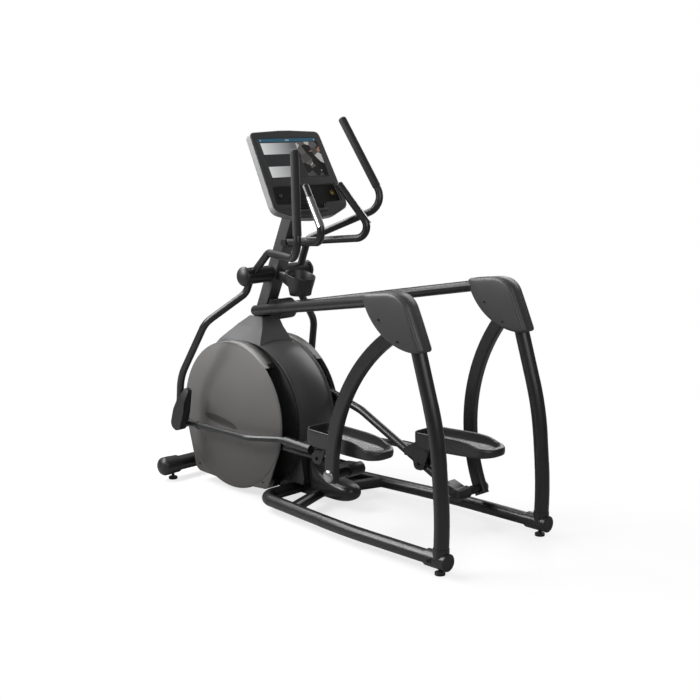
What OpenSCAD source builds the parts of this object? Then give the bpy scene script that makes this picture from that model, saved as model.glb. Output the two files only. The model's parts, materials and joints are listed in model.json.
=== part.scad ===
// Suspension elliptical trainer: a free-standing frame whose two foot
// pedals hang from curved swing arms at the rear and are driven by a
// hidden crank at the front. All sizes in millimetres.
// +X is the user's right, +Y points forward to the console, +Z is up.

/* [Frame] */
// outside diameter of the floor rails
rail_d = 55; // [45:1:65]
// half of the distance between the floor rails at the back
rail_x = 318; // [280:1:340]
// height of the floor rail axis
rail_z = 57; // [50:1:70]
// diameter of the rear uprights
upright_d = 60; // [48:1:64]
// diameter of the long top rails
top_rail_d = 47; // [38:1:50]
// diameter of the front stabiliser tube
stab_d = 70; // [55:1:76]
// distance of the front stabiliser from the rear feet
stab_y = 1745; // [1730:1:1760]
// width of the mast tube
mast_w = 64; // [50:1:70]
// depth of the mast tube
mast_t = 58; // [50:1:66]

/* [Mechanism] */
// crank radius
crank_r = 223; // [200:1:225]
// crank angle at rest, below the horizontal
crank_rest = 35.2; // [30:0.1:40]
// length of the swing arms between their pivots
swing_len = 813; // [800:1:820]
// distance from the rear pin to the crank pin
coupler_len = 883; // [875:1:890]
// straight rear length of a pedal arm
arm_straight = 628; // [600:1:640]
// distance from the rear pin to the pedal hinge
hinge_at = 222; // [200:1:240]
// length of the foot link from hinge to lever
link_len = 795; // [790:1:800]
// length of the handlebar levers below the pivot
lever_len = 795; // [785:1:800]

/* [Arms and pedals] */
// width of the swing arm bar seen from the side
swing_w = 58; // [48:1:60]
// thickness of the swing arm bar
swing_t = 37; // [30:1:37]
// diameter of the pedal arm tube
arm_d = 36; // [30:1:36]
// diameter of the foot link rod
rod_d = 27; // [22:1:30]
// length of a pedal
pedal_len = 372; // [340:1:380]
// width of a pedal
pedal_w = 155; // [130:1:160]
// number of tread ribs
tread_ribs = 16; // [8:1:20]

/* [Handlebars] */
// diameter of the handlebar tubes
bar_d = 33; // [28:1:35]
// diameter of the handlebar hubs
hub_d = 74; // [66:1:80]
// outside diameter of the soft grips
grip_d = 37; // [35:1:40]

/* [Housing] */
// radius of the round side covers
disc_r = 341; // [335:1:345]
// half width of the housing at the edge of a side cover
disc_x = 180; // [178:1:186]
// height of the dome of a side cover
disc_dome = 22; // [10:1:26]
// radius of the centre shroud
shroud_r = 348; // [344:1:352]
// rise of the crowned middle of the shroud
shroud_crown = 13; // [6:1:16]
// half width of the centre shroud
shroud_x = 110; // [108:0.5:110]
// wall thickness of the covers
wall = 4; // [3:0.5:5]

/* [Console] */
// height of the console front
console_h = 392; // [370:1:400]
// depth of the console
console_t = 46; // [40:1:50]
// width of the screen
screen_w = 344; // [320:1:350]
// height of the screen
screen_h = 194; // [180:1:200]

/* [Hidden] */
$fn = 96;
// clearance between neighbouring pieces, and radial play in bearings
gap = 0.3;
play = 0.05;
front_y = stab_y + 44;
back_y = -45;
mid_y = (front_y + back_y) / 2;
// centres in the side view: forward and up
disc_c = [1386, 362];
shroud_c = [1350, 354];
crank_c = [1304.5, 354.5];
wheel_c = [1600, 340];
swing_p = [165, 947];
pivot_o = [1270, 1015];
// distances from the middle plane
swing_x = 300;
arm_x = 150;
sleeve_x = 205;
rod_x = 260;
lever_x = 300;
hub_x = 145;
knuckle_x = 334;
// middle spine of the floor frame
spine_w = 70;
spine_z0 = 30;
spine_z1 = 85;
// mast and console in the side view
mast_foot = [1470, 548];
mast_top = [1114, 1380];
console_c = [1111.5, 1472];
console_a = 61.5;

// ---- plane linkage: the closed positions of both sides ----
function hit(a, ra, b, rb, s) = let (d = norm(b - a), k = (ra * ra - rb * rb + d * d) / (2 * d),
    h = sqrt(max(0, ra * ra - k * k)), u = (b - a) / d) a + k * u + s * h * [-u.y, u.x];
function turn(p, a) = [p.x * cos(a) - p.y * sin(a), p.x * sin(a) + p.y * cos(a)];
function elev(p) = atan2(p.y, p.x);
front_len = 258;
arm_bend = acos((arm_straight ^ 2 + coupler_len ^ 2 - front_len ^ 2) / (2 * arm_straight * coupler_len));
function crank_pin(s) = crank_c + crank_r * turn([1, 0], -crank_rest + (s > 0 ? 180 : 0));
function arm_pin(s) = hit(swing_p, swing_len, crank_pin(s), coupler_len, -1);
function arm_angle(s) = elev(crank_pin(s) - arm_pin(s)) + arm_bend;
function hinge_pt(s) = arm_pin(s) + turn([hinge_at, 0], arm_angle(s));
function lever_end(s) = hit(pivot_o, lever_len, hinge_pt(s), link_len, 1);
function swing_angle(s) = elev(arm_pin(s) - swing_p) + 90;
function lever_angle(s) = elev(lever_end(s) - pivot_o) + 90;
function link_angle(s) = elev(lever_end(s) - hinge_pt(s));
// crank pin seen from the rear pin, in the arm's own frame
arm_tip = turn([coupler_len, 0], -arm_bend);

// ---- helpers ----
function unit(v) = v / norm(v);
function arc_pts(c, r, a0, a1, n) = [for (i = [0:n]) c + r * [cos(a0 + (a1 - a0) * i / n),
    sin(a0 + (a1 - a0) * i / n)]];
// outline with rounded corners: each row is x, y, corner radius
function soft(p) = let (n = len(p)) [for (i = [0:n - 1]) let (a = [p[(i + n - 1) % n].x,
    p[(i + n - 1) % n].y],
    b = [p[i].x, p[i].y], c = [p[(i + 1) % n].x, p[(i + 1) % n].y], u = unit(a - b), w = unit(c - b),
    q = acos(max(-1, min(1, u * w))), t = p[i].z / tan(q / 2), m = b + unit(u + w) * p[i].z / sin(q / 2),
    s = u.x * w.y - u.y * w.x > 0 ? -1 : 1, a0 = elev(b + u * t - m), k = max(1, ceil((180 - q) / 7.5)))
    each (p[i].z < 0.01 || q > 179.5 ? [b] : arc_pts(m, p[i].z, a0, a0 + s * (180 - q), k))];
// frame whose columns are the three given directions, moved to o
module frame_at(o, u, v, w) multmatrix([[u.x, v.x, w.x, o.x], [u.y, v.y, w.y, o.y], [u.z, v.z, w.z,
    o.z]]) children();
module bar(a, b, r) { v = b - a; translate(a) rotate([0, acos(v.z / norm(v)), atan2(v.y, v.x)])
    rotate(25) cylinder(r = r, h = norm(v)); }
module elbow(a, b, c, r, bend) {
    u = unit(a - b); w = unit(c - b); q = acos(u * w); m = b + unit(u + w) * bend / sin(q / 2);
    e1 = unit(b + u * bend / tan(q / 2) - m);
    f = unit(b + w * bend / tan(q / 2) - m); k = unit(cross(e1, f));
    frame_at(m, e1, cross(k, e1), k) rotate_extrude(angle = 180 - q) translate([bend, 0]) circle(r);
}
// round bar from a to b whose end at b is domed by h
module knob(a, b, r, h) { v = b - a; translate(a) rotate([0, acos(v.z / norm(v)),
    atan2(v.y, v.x)]) rotate_extrude()
    polygon(concat([[0, 0], [r, 0]], [for (i = [0:9]) [r * cos(i * 10), norm(v) + h * sin(i * 10)]],
        [[0, norm(v) + h]])); }
function setback(a, b, c, bend) = bend / tan(acos(unit(a - b) * unit(c - b)) / 2);
// round tube through the points p with the bend radii k at the inner points
module tube(p, r, k) {
    n = len(p) - 1;
    for (i = [0:n - 1]) {
        d = unit(p[i + 1] - p[i]);
        s = i == 0 ? 0 : setback(p[i - 1], p[i], p[i + 1], k[i - 1]);
        t = i == n - 1 ? 0 : setback(p[i], p[i + 1], p[i + 2], k[i]);
        // the straights reach a little way into the slightly fuller bends
        bar(p[i] + d * (s - (i > 0 ? 1.5 : 0)), p[i + 1] - d * (t - (i < n - 1 ? 1.5 : 0)), r);
    }
    for (i = [1:n - 1]) elbow(p[i - 1], p[i], p[i + 1], r * 1.014, k[i - 1]);
}
// disc of radius r from x0 to x1 whose outer end is domed by h
module domed(p, x0, x1, r, h) translate([x0, p.x, p.y]) rotate([0, 90, 0]) rotate_extrude()
    polygon(concat([[0, 0]], [[r, 0]], [for (i = [0:9]) [r * cos(i * 10), x1 - x0 + h * sin(i * 10)]],
        [[0, x1 - x0 + h]]));
// cylinder along X from x0 to x1 round the point p of the side view
module across(p, x0, x1, r) translate([min(x0, x1), p.x, p.y]) rotate([0, 90, 0]) cylinder(r = r,
    h = abs(x1 - x0));
// side view outline (forward, up) given thickness from x0 to x1
module slab(x0, x1) translate([min(x0, x1), 0, 0]) rotate([90, 0, 90])
    linear_extrude(abs(x1 - x0)) children();
module box(x0, x1, y0, y1, z0, z1) translate([min(x0, x1), y0, z0]) cube([abs(x1 - x0), y1 - y0, z1 - z0]);
module placed() translate([0, -mid_y, 0]) children();
module both() for (s = [-1, 1]) mirror([s < 0 ? 1 : 0, 0, 0]) children();
module on_side(s) mirror([s < 0 ? 1 : 0, 0, 0]) children();
module turned(p, a) translate([0, p.x, p.y]) rotate([a, 0, 0]) children();
module on_console() translate([0, console_c.x, console_c.y]) rotate([console_a, 0, 0]) children();

// ---- floor frame ----
rail_r = rail_d / 2;
module floor_loop(r) tube([[-rail_x, -37, rail_z], [-rail_x, 520, rail_z], [-262, 1082, rail_z],
    [262, 1082, rail_z],
    [rail_x, 520, rail_z], [rail_x, -37, rail_z]], r, [2500, 72, 72, 2500]);
module chevron(r) for (s = [-1, 1]) bar([s * 291, 862, rail_z], [0, 962, rail_z], r);
module base_frame() color("#2b2b2d") placed() difference() {
    union() {
        floor_loop(rail_r);
        chevron(25);
        box(-spine_w / 2, spine_w / 2, 950, stab_y, spine_z0, spine_z1);
        // stand and barrel of the crank bearing
        slab(-32, 32) polygon([[1262, 80], [1347, 80], [1326, 350], [1283, 350]]);
        across(crank_c, -34, 34, 30);
        // fork that carries the flywheel
        for (s = [-1, 1]) slab(s * 34, s * 40) polygon(soft([[1560, 60, 0], [1640, 60, 0],
            [1622, 362, 18], [1578, 362, 18]]));
    }
    across(crank_c, -40, 40, 15 + play);
    across(wheel_c, -45, 45, 10 + play);
    across([stab_y, stab_r_z], -60, 60, stab_d / 2 + gap);
    box(-40, 40, mast_foot.x - 100, mast_foot.x + 30, spine_z1 - 0.01, spine_z1);
}
stab_r_z = 70;
module front_stabiliser() color("#2b2b2d") placed() across([stab_y, stab_r_z], -236, 236, stab_d / 2);
module stabiliser_caps() color("#1b1b1c") placed() both() {
    difference() {
        union() {
            across([stab_y, stab_r_z], 226, 300, 42);
            domed([stab_y, stab_r_z], 262, 300, 44, 28);
        }
        across([stab_y, stab_r_z], 200, 236.3, stab_d / 2 + gap);
    }
}
module foot(top) { cylinder(d = 42, h = 11); cylinder(d = 26, h = 15); cylinder(d = 14, h = top); }
module front_feet() color("#161617") placed() for (s = [-1, 1])
    translate([s * 250, stab_y, 0]) foot(stab_r_z - 42 - gap);
module rear_clamps() color("#2b2b2d") placed() for (s = [-1, 1])
    translate([s * rail_x, 0, 0]) difference() {
    union() {
        translate([0, 62, rail_z]) rotate([90, 0, 0]) cylinder(d = 68, h = 99);
        translate([0, -4.4, rail_z]) cylinder(d = 64.8, h = 50);
        // lug of the clamping screw
        translate([0, 30, rail_z]) rotate([0, s * 90, 0]) cylinder(d = 22, h = 38);
    }
    translate([0, 70, rail_z]) rotate([90, 0, 0]) cylinder(r = rail_r + gap, h = 120);
    translate([0, -4.4, rail_z + rail_r]) cylinder(d = upright_d + 4 * gap, h = 60);
    translate([0, 30, rail_z]) rotate([0, s * 90, 0]) cylinder(d = 12 + 2 * play, h = 60);
}
module clamp_screws() color("#0f0f10") placed() for (s = [-1, 1])
    translate([s * rail_x, 30, rail_z]) rotate([0, s * 90, 0])
    difference() { translate([0, 0, rail_r + gap]) cylinder(d = 12, h = 39.5 - rail_r);
        translate([0, 0, 36]) cylinder(d = 7, h = 8, $fn = 6); }
module rail_end_caps() color("#1b1b1c") placed() for (s = [-1, 1]) translate([s * rail_x, -37 - gap,
    rail_z]) rotate([90, 0, 0]) {
    cylinder(d = 70, h = 4);
    translate([0, 0, 4]) cylinder(d1 = 70, d2 = 58, h = 3.7);
}
module rear_feet() color("#161617") placed() for (s = [-1, 1])
    translate([s * rail_x, 0, 0]) foot(rail_z - 34 - gap);

// ---- uprights, top rails and mast ----
cover_screws = [[287, 957], [190, 884]];
// axis of a top rail, from the knuckle to the mast
rail_top = [rail_x, 300, 1026.5];
rail_foot = [36, 1374, 834.5];
knuckle = soft([[118, 868, 14], [196, 872, 20], [262, 920, 20], [352, 988, 16], [352, 1026, 16],
    [200, 1042, 30], [160, 985, 20]]);
module side_frame(s) on_side(s) color("#2b2b2d") placed() difference() {
    union() {
        // bowed upright
        tube([[rail_x, -4, rail_z + rail_r + 2], [rail_x, -9, 215], [rail_x, 22, 540],
            [rail_x, 132, 890]], upright_d / 2, [1500, 1100]);
        // top rail down to the mast
        bar(rail_top, rail_foot, top_rail_d / 2);
        // plate that joins both and carries the swing pivot
        slab(knuckle_x - 9, knuckle_x + 9) polygon(knuckle);
        across(swing_p, 325, 348, 30);
        across(swing_p, 283, 326, 15);
        across(swing_p, 319.2, 326, 24);
        // bosses of the covers
        for (p = cover_screws) across(p, 342, 357.5, 8);
        across(cover_screws[0], 280.6, 326, 8);
    }
    box(-40, mast_w / 2 + gap, 1200, 1500, 700, 1000);
    box(-40, 120, 1379, 1500, 700, 1000);
    for (p = cover_screws) across(p, 346, 364, 2.5 + play);
    across(cover_screws[0], 270, 290, 2.5 + play);
}
module side_frame_left() side_frame(-1);
module side_frame_right() side_frame(1);
mast_lean = atan2(mast_foot.x - mast_top.x, mast_top.y - mast_foot.y);
mast_up = turn([0, 1], mast_lean);
mast_side = mast_t / 2 * turn([1, 0], mast_lean);
mast_mitre = mast_t / 2 * turn([1, 0], mast_lean / 2) / cos(mast_lean / 2);
mast_end = mast_foot + mast_up * (norm(mast_top - mast_foot) + 20);
module mast() color("#303033") placed() difference() {
    union() {
        slab(-mast_w / 2, mast_w / 2) polygon(soft([[mast_foot.x - mast_t / 2, spine_z1 + gap, 0],
            [mast_foot.x + mast_t / 2, spine_z1 + gap, 0],
            [mast_foot.x + mast_mitre.x, mast_foot.y + mast_mitre.y, 180], [mast_end.x + mast_side.x,
                mast_end.y + mast_side.y, 0], [mast_end.x - mast_side.x, mast_end.y - mast_side.y, 0],
            [mast_foot.x - mast_mitre.x, mast_foot.y - mast_mitre.y, 120]]));
        // foot plate and console plate
        box(-46, 46, mast_foot.x - 50, mast_foot.x + 50, spine_z1 + gap, spine_z1 + 8);
        on_console() box(-70, 70, -140, -25, -console_t - gap - 6, -console_t - gap);
    }
    on_console() box(-90, 90, -200, 200, -console_t - gap, 200);
    across(pivot_o, -60, 60, 23 + play);
}
// boss behind the mast between the two top rails
module rail_saddle() color("#1f1f21") placed() difference() {
    union() {
        across([1222, 857], -44, 44, 46);
        slab(-26, 26) polygon([[1222, 824], [1360, 818], [1360, 890], [1222, 897]]);
    }
    turned(mast_foot, mast_lean) box(-60, 60, -mast_t / 2 - gap, 100, -50, 800);
    across([1222, 857], -60, 60, 12);
    both() bar(rail_top, rail_foot, top_rail_d / 2 + gap);
}

// ---- knuckle covers ----
// clearance in the covers for the upright and the top rail
module frame_room() {
    bar([rail_x, 22, 540], [rail_x, 138.3, 910], upright_d / 2 + gap);
    bar(rail_top, rail_foot, top_rail_d / 2 + gap);
}
module cover_shape(d) intersection() {
    polygon(soft([[383 - d, 1046 - d * 0.9, 6], [250, 1063 - d, 120], [178 + d * 0.7, 1058 - d,
        46 - d], [128 + d, 958, 120],
        [74 + d, 842 - (d > 2 ? 20 : 0), 3], [74 + d, 780, 0], [383 - d, 780, 0]]));
    translate([114, 1140]) circle(r = 299 - d, $fn = 160);
}
module cover_outer() color("#3a3a3c") placed() both() difference() {
    union() {
        slab(344, 358) cover_shape(0);
        // raised inner field of the face
        slab(357.9, 362) cover_shape(5);
    }
    slab(340, 358 - 0.2) cover_shape(wall);
    frame_room();
    for (p = cover_screws) across(p, 340, 370, 2.5 + play);
}
module cover_inner() color("#3a3a3c") placed() both() difference() {
    union() {
        slab(279, 294) cover_shape(0);
        slab(276, 279.1) cover_shape(5);
    }
    slab(280.3, 295) cover_shape(wall);
    box(280.3, 300, 120, 420, 780, 1005);
    frame_room();
    for (p = cover_screws) across(p, 270, 300, 2.5 + play);
}
module cover_band() color("#343436") placed() both() difference() {
    slab(294 + gap, 344 - gap) difference() { cover_shape(0); cover_shape(wall); }
    frame_room();
    // open underneath for the swing arm
    slab(280, 360) polygon([[60, 700], [79, 842], [106, 900], [140, 960], [176, 1010], [420, 1010],
        [420, 700]]);
    // tongue shaped inset on the back
    slab(305, 333) difference() { cover_shape(-1); cover_shape(0.9);
        translate([200, 1010]) square([300, 100]); translate([0, 780]) square([300, 80]); }
}
module screw(p, x0, x1, r) difference() {
    union() { across(p, x0, x1, 2.5); across(p, x1 - 0.01 * sign(x1 - x0), x1 + 2 * sign(x1 - x0), r); }
    across(p, x1 + 0.8 * sign(x1 - x0), x1 + 3 * sign(x1 - x0), 1.6, $fn = 6);
}
disc_screws = [[1625, 86], [1175, 87], [1330, 290]];
module trim_screws() color("#0f0f10") placed() both() {
    for (p = cover_screws) screw(p, 348, 362 + play, 4.5);
    for (p = cover_screws) screw(p, p.x > 200 ? 288 : 281, 276 - play, 4.5);
    for (i = [0:2]) screw(disc_screws[i], disc_face(disc_screws[i]) - 9,
        disc_face(disc_screws[i]) + play, 4.5);
}

// ---- swing arms ----
swing_bow = 737;
half_fan = asin(swing_len / 2 / swing_bow);
over = 2.3;
module swing_arm(s) on_side(s) color("#2e2e30") placed() turned(swing_p, swing_angle(s)) difference() {
    // curved bar with rounded corners, a little longer than its lower pin
    union() {
    translate([0, -swing_bow * cos(half_fan), -swing_len / 2]) rotate([0, 90, 0])
        rotate([0, 0, 90 - half_fan - over])
        rotate_extrude(angle = 2 * half_fan + over, $fn = 180)
            polygon(soft([for (c = [[-1, -1], [1, -1], [1, 1], [-1, 1]])
            [swing_bow + c.x * swing_w / 2, swing_x + c.y * swing_t / 2, 9]]));
    across([0, 0], swing_x - swing_t / 2 + 1.5, swing_x + swing_t / 2 - 1.5, 30);
    }
    across([0, 0], 200, 400, 15 + play);
    across([0, -swing_len], 200, 400, 13 + play);
}
module swing_arm_left() swing_arm(-1);
module swing_arm_right() swing_arm(1);
module arm_pin_solid(s) on_side(s) color("#8c8c90") placed() turned(swing_p, swing_angle(s)) {
    across([0, -swing_len], 131, swing_x + swing_t / 2, 13);
    across([0, -swing_len], 211, swing_x - swing_t / 2 - gap, 19);
}
module arm_pin_left() arm_pin_solid(-1);
module arm_pin_right() arm_pin_solid(1);
module pin_cap(s) on_side(s) color("#c9cacc") placed() turned(swing_p, swing_angle(s)) {
    domed([0, -swing_len], swing_x + swing_t / 2 + gap, swing_x + swing_t / 2 + 5, 26, 10);
}
module pin_cap_left() pin_cap(-1);
module pin_cap_right() pin_cap(1);

// ---- pedal arms, foot links and pedals ----
module pedal_arm(s) on_side(s) color("#2a2a2c") placed() turned(arm_pin(s), arm_angle(s)) difference() {
    union() {
        tube([[arm_x, 0, 0], [arm_x, arm_straight, 0], [arm_x, arm_tip.x, arm_tip.y]], arm_d / 2, [160]);
        // rear bearing block
        across([0, 0], 130, 210, 27);
        slab(arm_x - 17, 200) polygon(soft([[-4, -24, 2], [78, -15, 8], [78, 15, 8], [-4, 24, 2]]));
        // front bearing
        across(arm_tip, arm_x - 19, arm_x + 19, 26);
    }
    across([0, 0], 100, 240, 13 + play);
    across([hinge_at, 0], 100, 240, 8 + play);
    across(arm_tip, 100, 240, 12 + play);
}
module pedal_arm_left() pedal_arm(-1);
module pedal_arm_right() pedal_arm(1);
cheek = soft([[-24, -24, 22], [24, -24, 22], [38, 30, 10], [84, 30, 6], [84, 62, 10], [20, 97.7, 0],
    [-190, 97.7, 0], [-190, 88, 3], [-60, 80, 20]]);
module pedal_bracket(s) on_side(s) color("#303033") placed() turned(hinge_pt(s),
    link_angle(s)) difference() {
    union() {
        for (x = [arm_x - arm_d / 2 - 1.2, arm_x + arm_d / 2 + 1.2 + 6]) slab(x - 6, x) polygon(cheek);
        box(129.8, 232, -190, -8, 91, 97.7);
        // sleeve that holds the rod, with its gusset
        bar([sleeve_x, 168, 46], [sleeve_x, 4, 46], 21);
        slab(arm_x + 22, 200) polygon([[20, 36], [76, 36], [76, 60], [-24, 94], [-60, 94], [-40, 60]]);
    }
    bar([sleeve_x, 170, 46], [sleeve_x, 24, 46], rod_d / 2 + gap);
    // hinge bolt hole in the cheeks
    across([0, 0], 100, 176.5, 8 + play);
}
module pedal_bracket_left() pedal_bracket(-1);
module pedal_bracket_right() pedal_bracket(1);
module foot_rod(s) on_side(s) color("#353538") placed() turned(hinge_pt(s), link_angle(s)) {
    tube([[sleeve_x, 24 + gap, 46], [sleeve_x, 200, 46], [rod_x, 360, 25], [rod_x, link_len - 10, 2]],
        rod_d / 2, [110, 150]);
    // collar cut on the slant
    difference() {
        bar([rod_x, link_len - 110, 7.6], [rod_x, link_len - 10, 2], 16.5);
        translate([0, link_len - 120, 0]) rotate([-30, 0, 0]) box(rod_x - 40, rod_x + 40, -60, 22, -60, 60);
    }
    across([link_len, 0], rod_x - 15, 277.6, 21);
}
module foot_rod_left() foot_rod(-1);
module foot_rod_right() foot_rod(1);
pedal_x = 170;
pedal_y0 = -4;
function pedal_edge(d) = soft([for (c = [[-1, 0, 34], [1, 0, 34], [1, -1, 66], [-1, -1, 66]])
    [pedal_x + c.x * (pedal_w / 2 - d), pedal_y0 - d + c.y * (pedal_len - 2 * d), c.z - d]]);
module pedal(s) on_side(s) color("#252527") placed() turned(hinge_pt(s), link_angle(s)) difference() {
    // the rim is high round the toe, falls past the middle and ends in a rounded heel lip
    intersection() {
        translate([0, 0, 98]) linear_extrude(58) polygon(pedal_edge(0));
        slab(0, 400) polygon(soft([[30, 90, 0], [30, 155, 0], [-110, 155, 70], [-220, 130, 100],
            [-310, 114, 0],
            [-pedal_len - 14, 111, 0], [-pedal_len + 6, 90, 0]]));
    }
    difference() {
        translate([0, 0, 107]) linear_extrude(60) polygon(pedal_edge(5));
        // toe bar and heel lip across the tray
        box(60, 280, -16, 20, 100, 113);
        box(60, 280, -500, -pedal_len + 42, 100, 200);
    }
    for (x = [134, 206], y = [-160, -40]) translate([x, y, 90]) cylinder(r = 3 + play, h = 30);
}
module pedal_left() pedal(-1);
module pedal_right() pedal(1);
module tread(s) on_side(s) color("#3c3c3e") placed() turned(hinge_pt(s), link_angle(s)) {
    intersection() {
        union() {
            translate([0, 0, 107 + gap]) linear_extrude(3) polygon(pedal_edge(9));
            for (i = [0:tread_ribs - 1]) box(pedal_x - pedal_w / 2, pedal_x + pedal_w / 2,
                -300 + i * 17, -292 + i * 17, 109, 113);
        }
        translate([0, 0, 100]) linear_extrude(20) polygon(pedal_edge(9));
        box(0, 400, -318, -20, 100, 120);
    }
}
module tread_left() tread(-1);
module tread_right() tread(1);

// ---- handlebars ----
bar_up = [[hub_x, 0, 0], [hub_x, -54, 151], [312, -378, 325], [270, -134, 684]];
bar_down = [[hub_x, 0, 0], [hub_x, 0, -92], [290, 44, -261], [lever_x, 82, -581], [lever_x, 0, -lever_len]];
module handlebar(s) on_side(s) color("#2a2a2c") placed() turned(pivot_o, lever_angle(s)) difference() {
    union() {
        tube(bar_up, bar_d / 2, [45, 75]);
        tube(bar_down, bar_d / 2, [60, 100, 210]);
        across([0, 0], mast_w / 2 + 8, 188, hub_d / 2);
        across([0, -lever_len], 278.1, 319, 20);
    }
    across([0, 0], 0, 250, 23 + play);
}
module handlebar_left() handlebar(-1);
module handlebar_right() handlebar(1);
grip_dir = unit(bar_up[3] - bar_up[2]);
module grip(s) on_side(s) color("#19191a") placed() turned(pivot_o, lever_angle(s)) difference() {
    union() {
        knob(bar_up[2] + grip_dir * 96, bar_up[3] + grip_dir * 4, grip_d / 2, 12);
    }
    bar(bar_up[2] + grip_dir * 90, bar_up[3] + grip_dir * gap, bar_d / 2 + 0.02);
}
module grip_left() grip(-1);
module grip_right() grip(1);
module joint_cover(s) on_side(s) color("#232324") placed() turned(pivot_o, lever_angle(s)) difference() {
    // almond shell round the lower end of the lever
    intersection() {
        slab(281, 322) polygon(soft([[-34, -lever_len - 26, 30], [32, -lever_len - 26, 30],
            [46, -lever_len + 60, 90], [34, -lever_len + 186, 9], [6, -lever_len + 186, 12],
            [-26, -lever_len + 80, 110]]));
        translate([20, 0, -lever_len + 50]) sphere(r = 312, $fn = 200);
    }
    tube(bar_down, bar_d / 2 + gap, [60, 100, 210]);
    across([0, -lever_len], 270, 319 + gap, 20 + gap);
}
module joint_cover_left() joint_cover(-1);
module joint_cover_right() joint_cover(1);
module pivot_tube() color("#3a3a3d") placed() across(pivot_o, -196, 196, 23);
module pivot_caps() color("#1d1d1e") placed() both() difference() {
    domed(pivot_o, 188.4, 200, 44, 12);
    across(pivot_o, 180, 196 + gap, 23 + gap);
}

// ---- housing ----
dome_r = (disc_r ^ 2 + disc_dome ^ 2) / (2 * disc_dome);
// height of a side cover's face at the point p
function disc_face(p) = norm(p - disc_c) > disc_r - 10 ? disc_x - 1 :
    disc_x + disc_dome * (1 - (norm(p - disc_c) / disc_r) ^ 2) + 0.5;
module disc_shape(d) {
    translate(disc_c) circle(r = disc_r - d, $fn = 180);
    polygon(soft([[disc_c.x, disc_c.y, 0], [disc_c.x - (disc_r - d) * cos(25.6),
        disc_c.y - (disc_r - d) * sin(25.6), 0], [1144 + d, 58 + d, 34 - d],
        [1400, 40 + d, 900], [1652 - d, 50 + d, 40 - d], [disc_c.x + (disc_r - d) * cos(15),
            disc_c.y - (disc_r - d) * sin(15), 0]]));
}
module dome(d) translate([disc_x + disc_dome - dome_r - d, disc_c.x, disc_c.y]) sphere(r = dome_r,
    $fn = 300);
function dome_pts(r, d) = [for (i = [0:10]) [r * (1 - i / 10),
    disc_dome * (1 - (r * (1 - i / 10) / disc_r) ^ 2) - d]];
module dome_disc(r, d, x0) translate([disc_x, disc_c.x, disc_c.y]) rotate([0, 90, 0])
    rotate_extrude($fn = 180)
    polygon(concat([[0, x0], [r, x0]], dome_pts(r, d)));
module disc(s) on_side(s) color("#5a5653") placed() difference() {
    union() {
        slab(110 + gap, disc_x - 4) disc_shape(0);
        slab(disc_x - 4.1, disc_x - 1) disc_shape(3);
        dome_disc(disc_r - 7, 0, -9);
    }
    slab(100, disc_x - wall - 2) disc_shape(wall);
    dome_disc(disc_r - 20, wall + 1, -wall - 3);
    // rear opening for the pedal arm
    slab(100, disc_x - wall - 4) polygon([disc_c, disc_c + turn([600, 0], 180 - 47), disc_c - [700, 0],
        disc_c + turn([600, 0], 180 + 44)]);
    // shallow bare field
    difference() { slab(disc_x, 240) polygon(plate_shape(0)); dome(2.6); }
    for (p = disc_screws) across(p, 150, 240, 2.5 + play);
}
function plate_shape(d) = [[1568 - d, 346], [1530, 353 - d], [1470, 354 - d], [1410, 347 - d],
    [1356, 334 - d], [1318 + d, 316],
    [1326 + d / 2, 308 + d], [1380, 306 + d], [1450, 311 + d], [1520, 324 + d]];
module disc_left() disc(-1);
module disc_right() disc(1);
module disc_plates() color("#2f2e2e") placed() both() difference() {
    intersection() { slab(disc_x, 240) polygon(plate_shape(0.5)); dome(0.8); }
    dome(2.3);
}
// half profile of the centre shroud: radius and place across, with an edge bead and a crowned middle
function shroud_rim(d) = let (w = shroud_x - 13) concat([[0, -shroud_x - d], [shroud_r + d, -shroud_x - d],
    [shroud_r + d, -w - 5], [shroud_r - 4 + d, -w - 2]],
    [for (i = [-6:6]) [shroud_r - 4 + shroud_crown * (1 - (i / 6) ^ 2) + d, i / 6 * w]],
    [[shroud_r - 4 + d, w + 2], [shroud_r + d, w + 5], [shroud_r + d, shroud_x + d], [0, shroud_x + d]]);
module shroud_body(d) translate([0, shroud_c.x, shroud_c.y]) rotate([0, 90, 0]) rotate_extrude($fn = 180)
    polygon(shroud_rim(d));
// fairing under the rear of the shroud, seen from the side
fairing_back = [[1006, 300, 20], [1022, 208, 60], [1004, 118, 30], [1010, 88, 0], [1130, 88, 0]];
module centre_shroud() color("#4a4a4b") placed() difference() {
    union() {
        difference() {
            shroud_body(0);
            // room inside, between the side walls, and the open rims beside them
            intersection() { shroud_body(-wall); across(shroud_c, -91, 91, 400); }
            for (s = [-1, 1]) across(shroud_c, s * 95, s * 130, shroud_r - 4 - wall);
        }
        slab(-84, 84) difference() {
            polygon(soft(concat([[1040, 300, 0]], fairing_back, [[1110, 160, 0]])));
            polygon(soft([[1050, 290, 0], [1030, 270, 10], [1034, 208, 60], [1020, 118, 10],
                [1020, 70, 0], [1200, 70, 0], [1200, 290, 0]]));
        }
        for (s = [-1, 1]) slab(s * 80, s * 84) difference() {
            polygon(soft(concat([[1120, 300, 0]], fairing_back)));
            translate(shroud_c) circle(r = shroud_r - 4 - wall, $fn = 180);
        }
    }
    across(crank_c, -200, 200, 36);
    box(-200, 200, 900, 1800, 0, spine_z1 + gap);
    box(-46, 46, 1540, 1680, 0, 200);
    turned(mast_foot, mast_lean) box(-mast_w / 2 - gap, mast_w / 2 + gap, -mast_t / 2 - gap,
        mast_t / 2 + gap, 0, 800);
}
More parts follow.
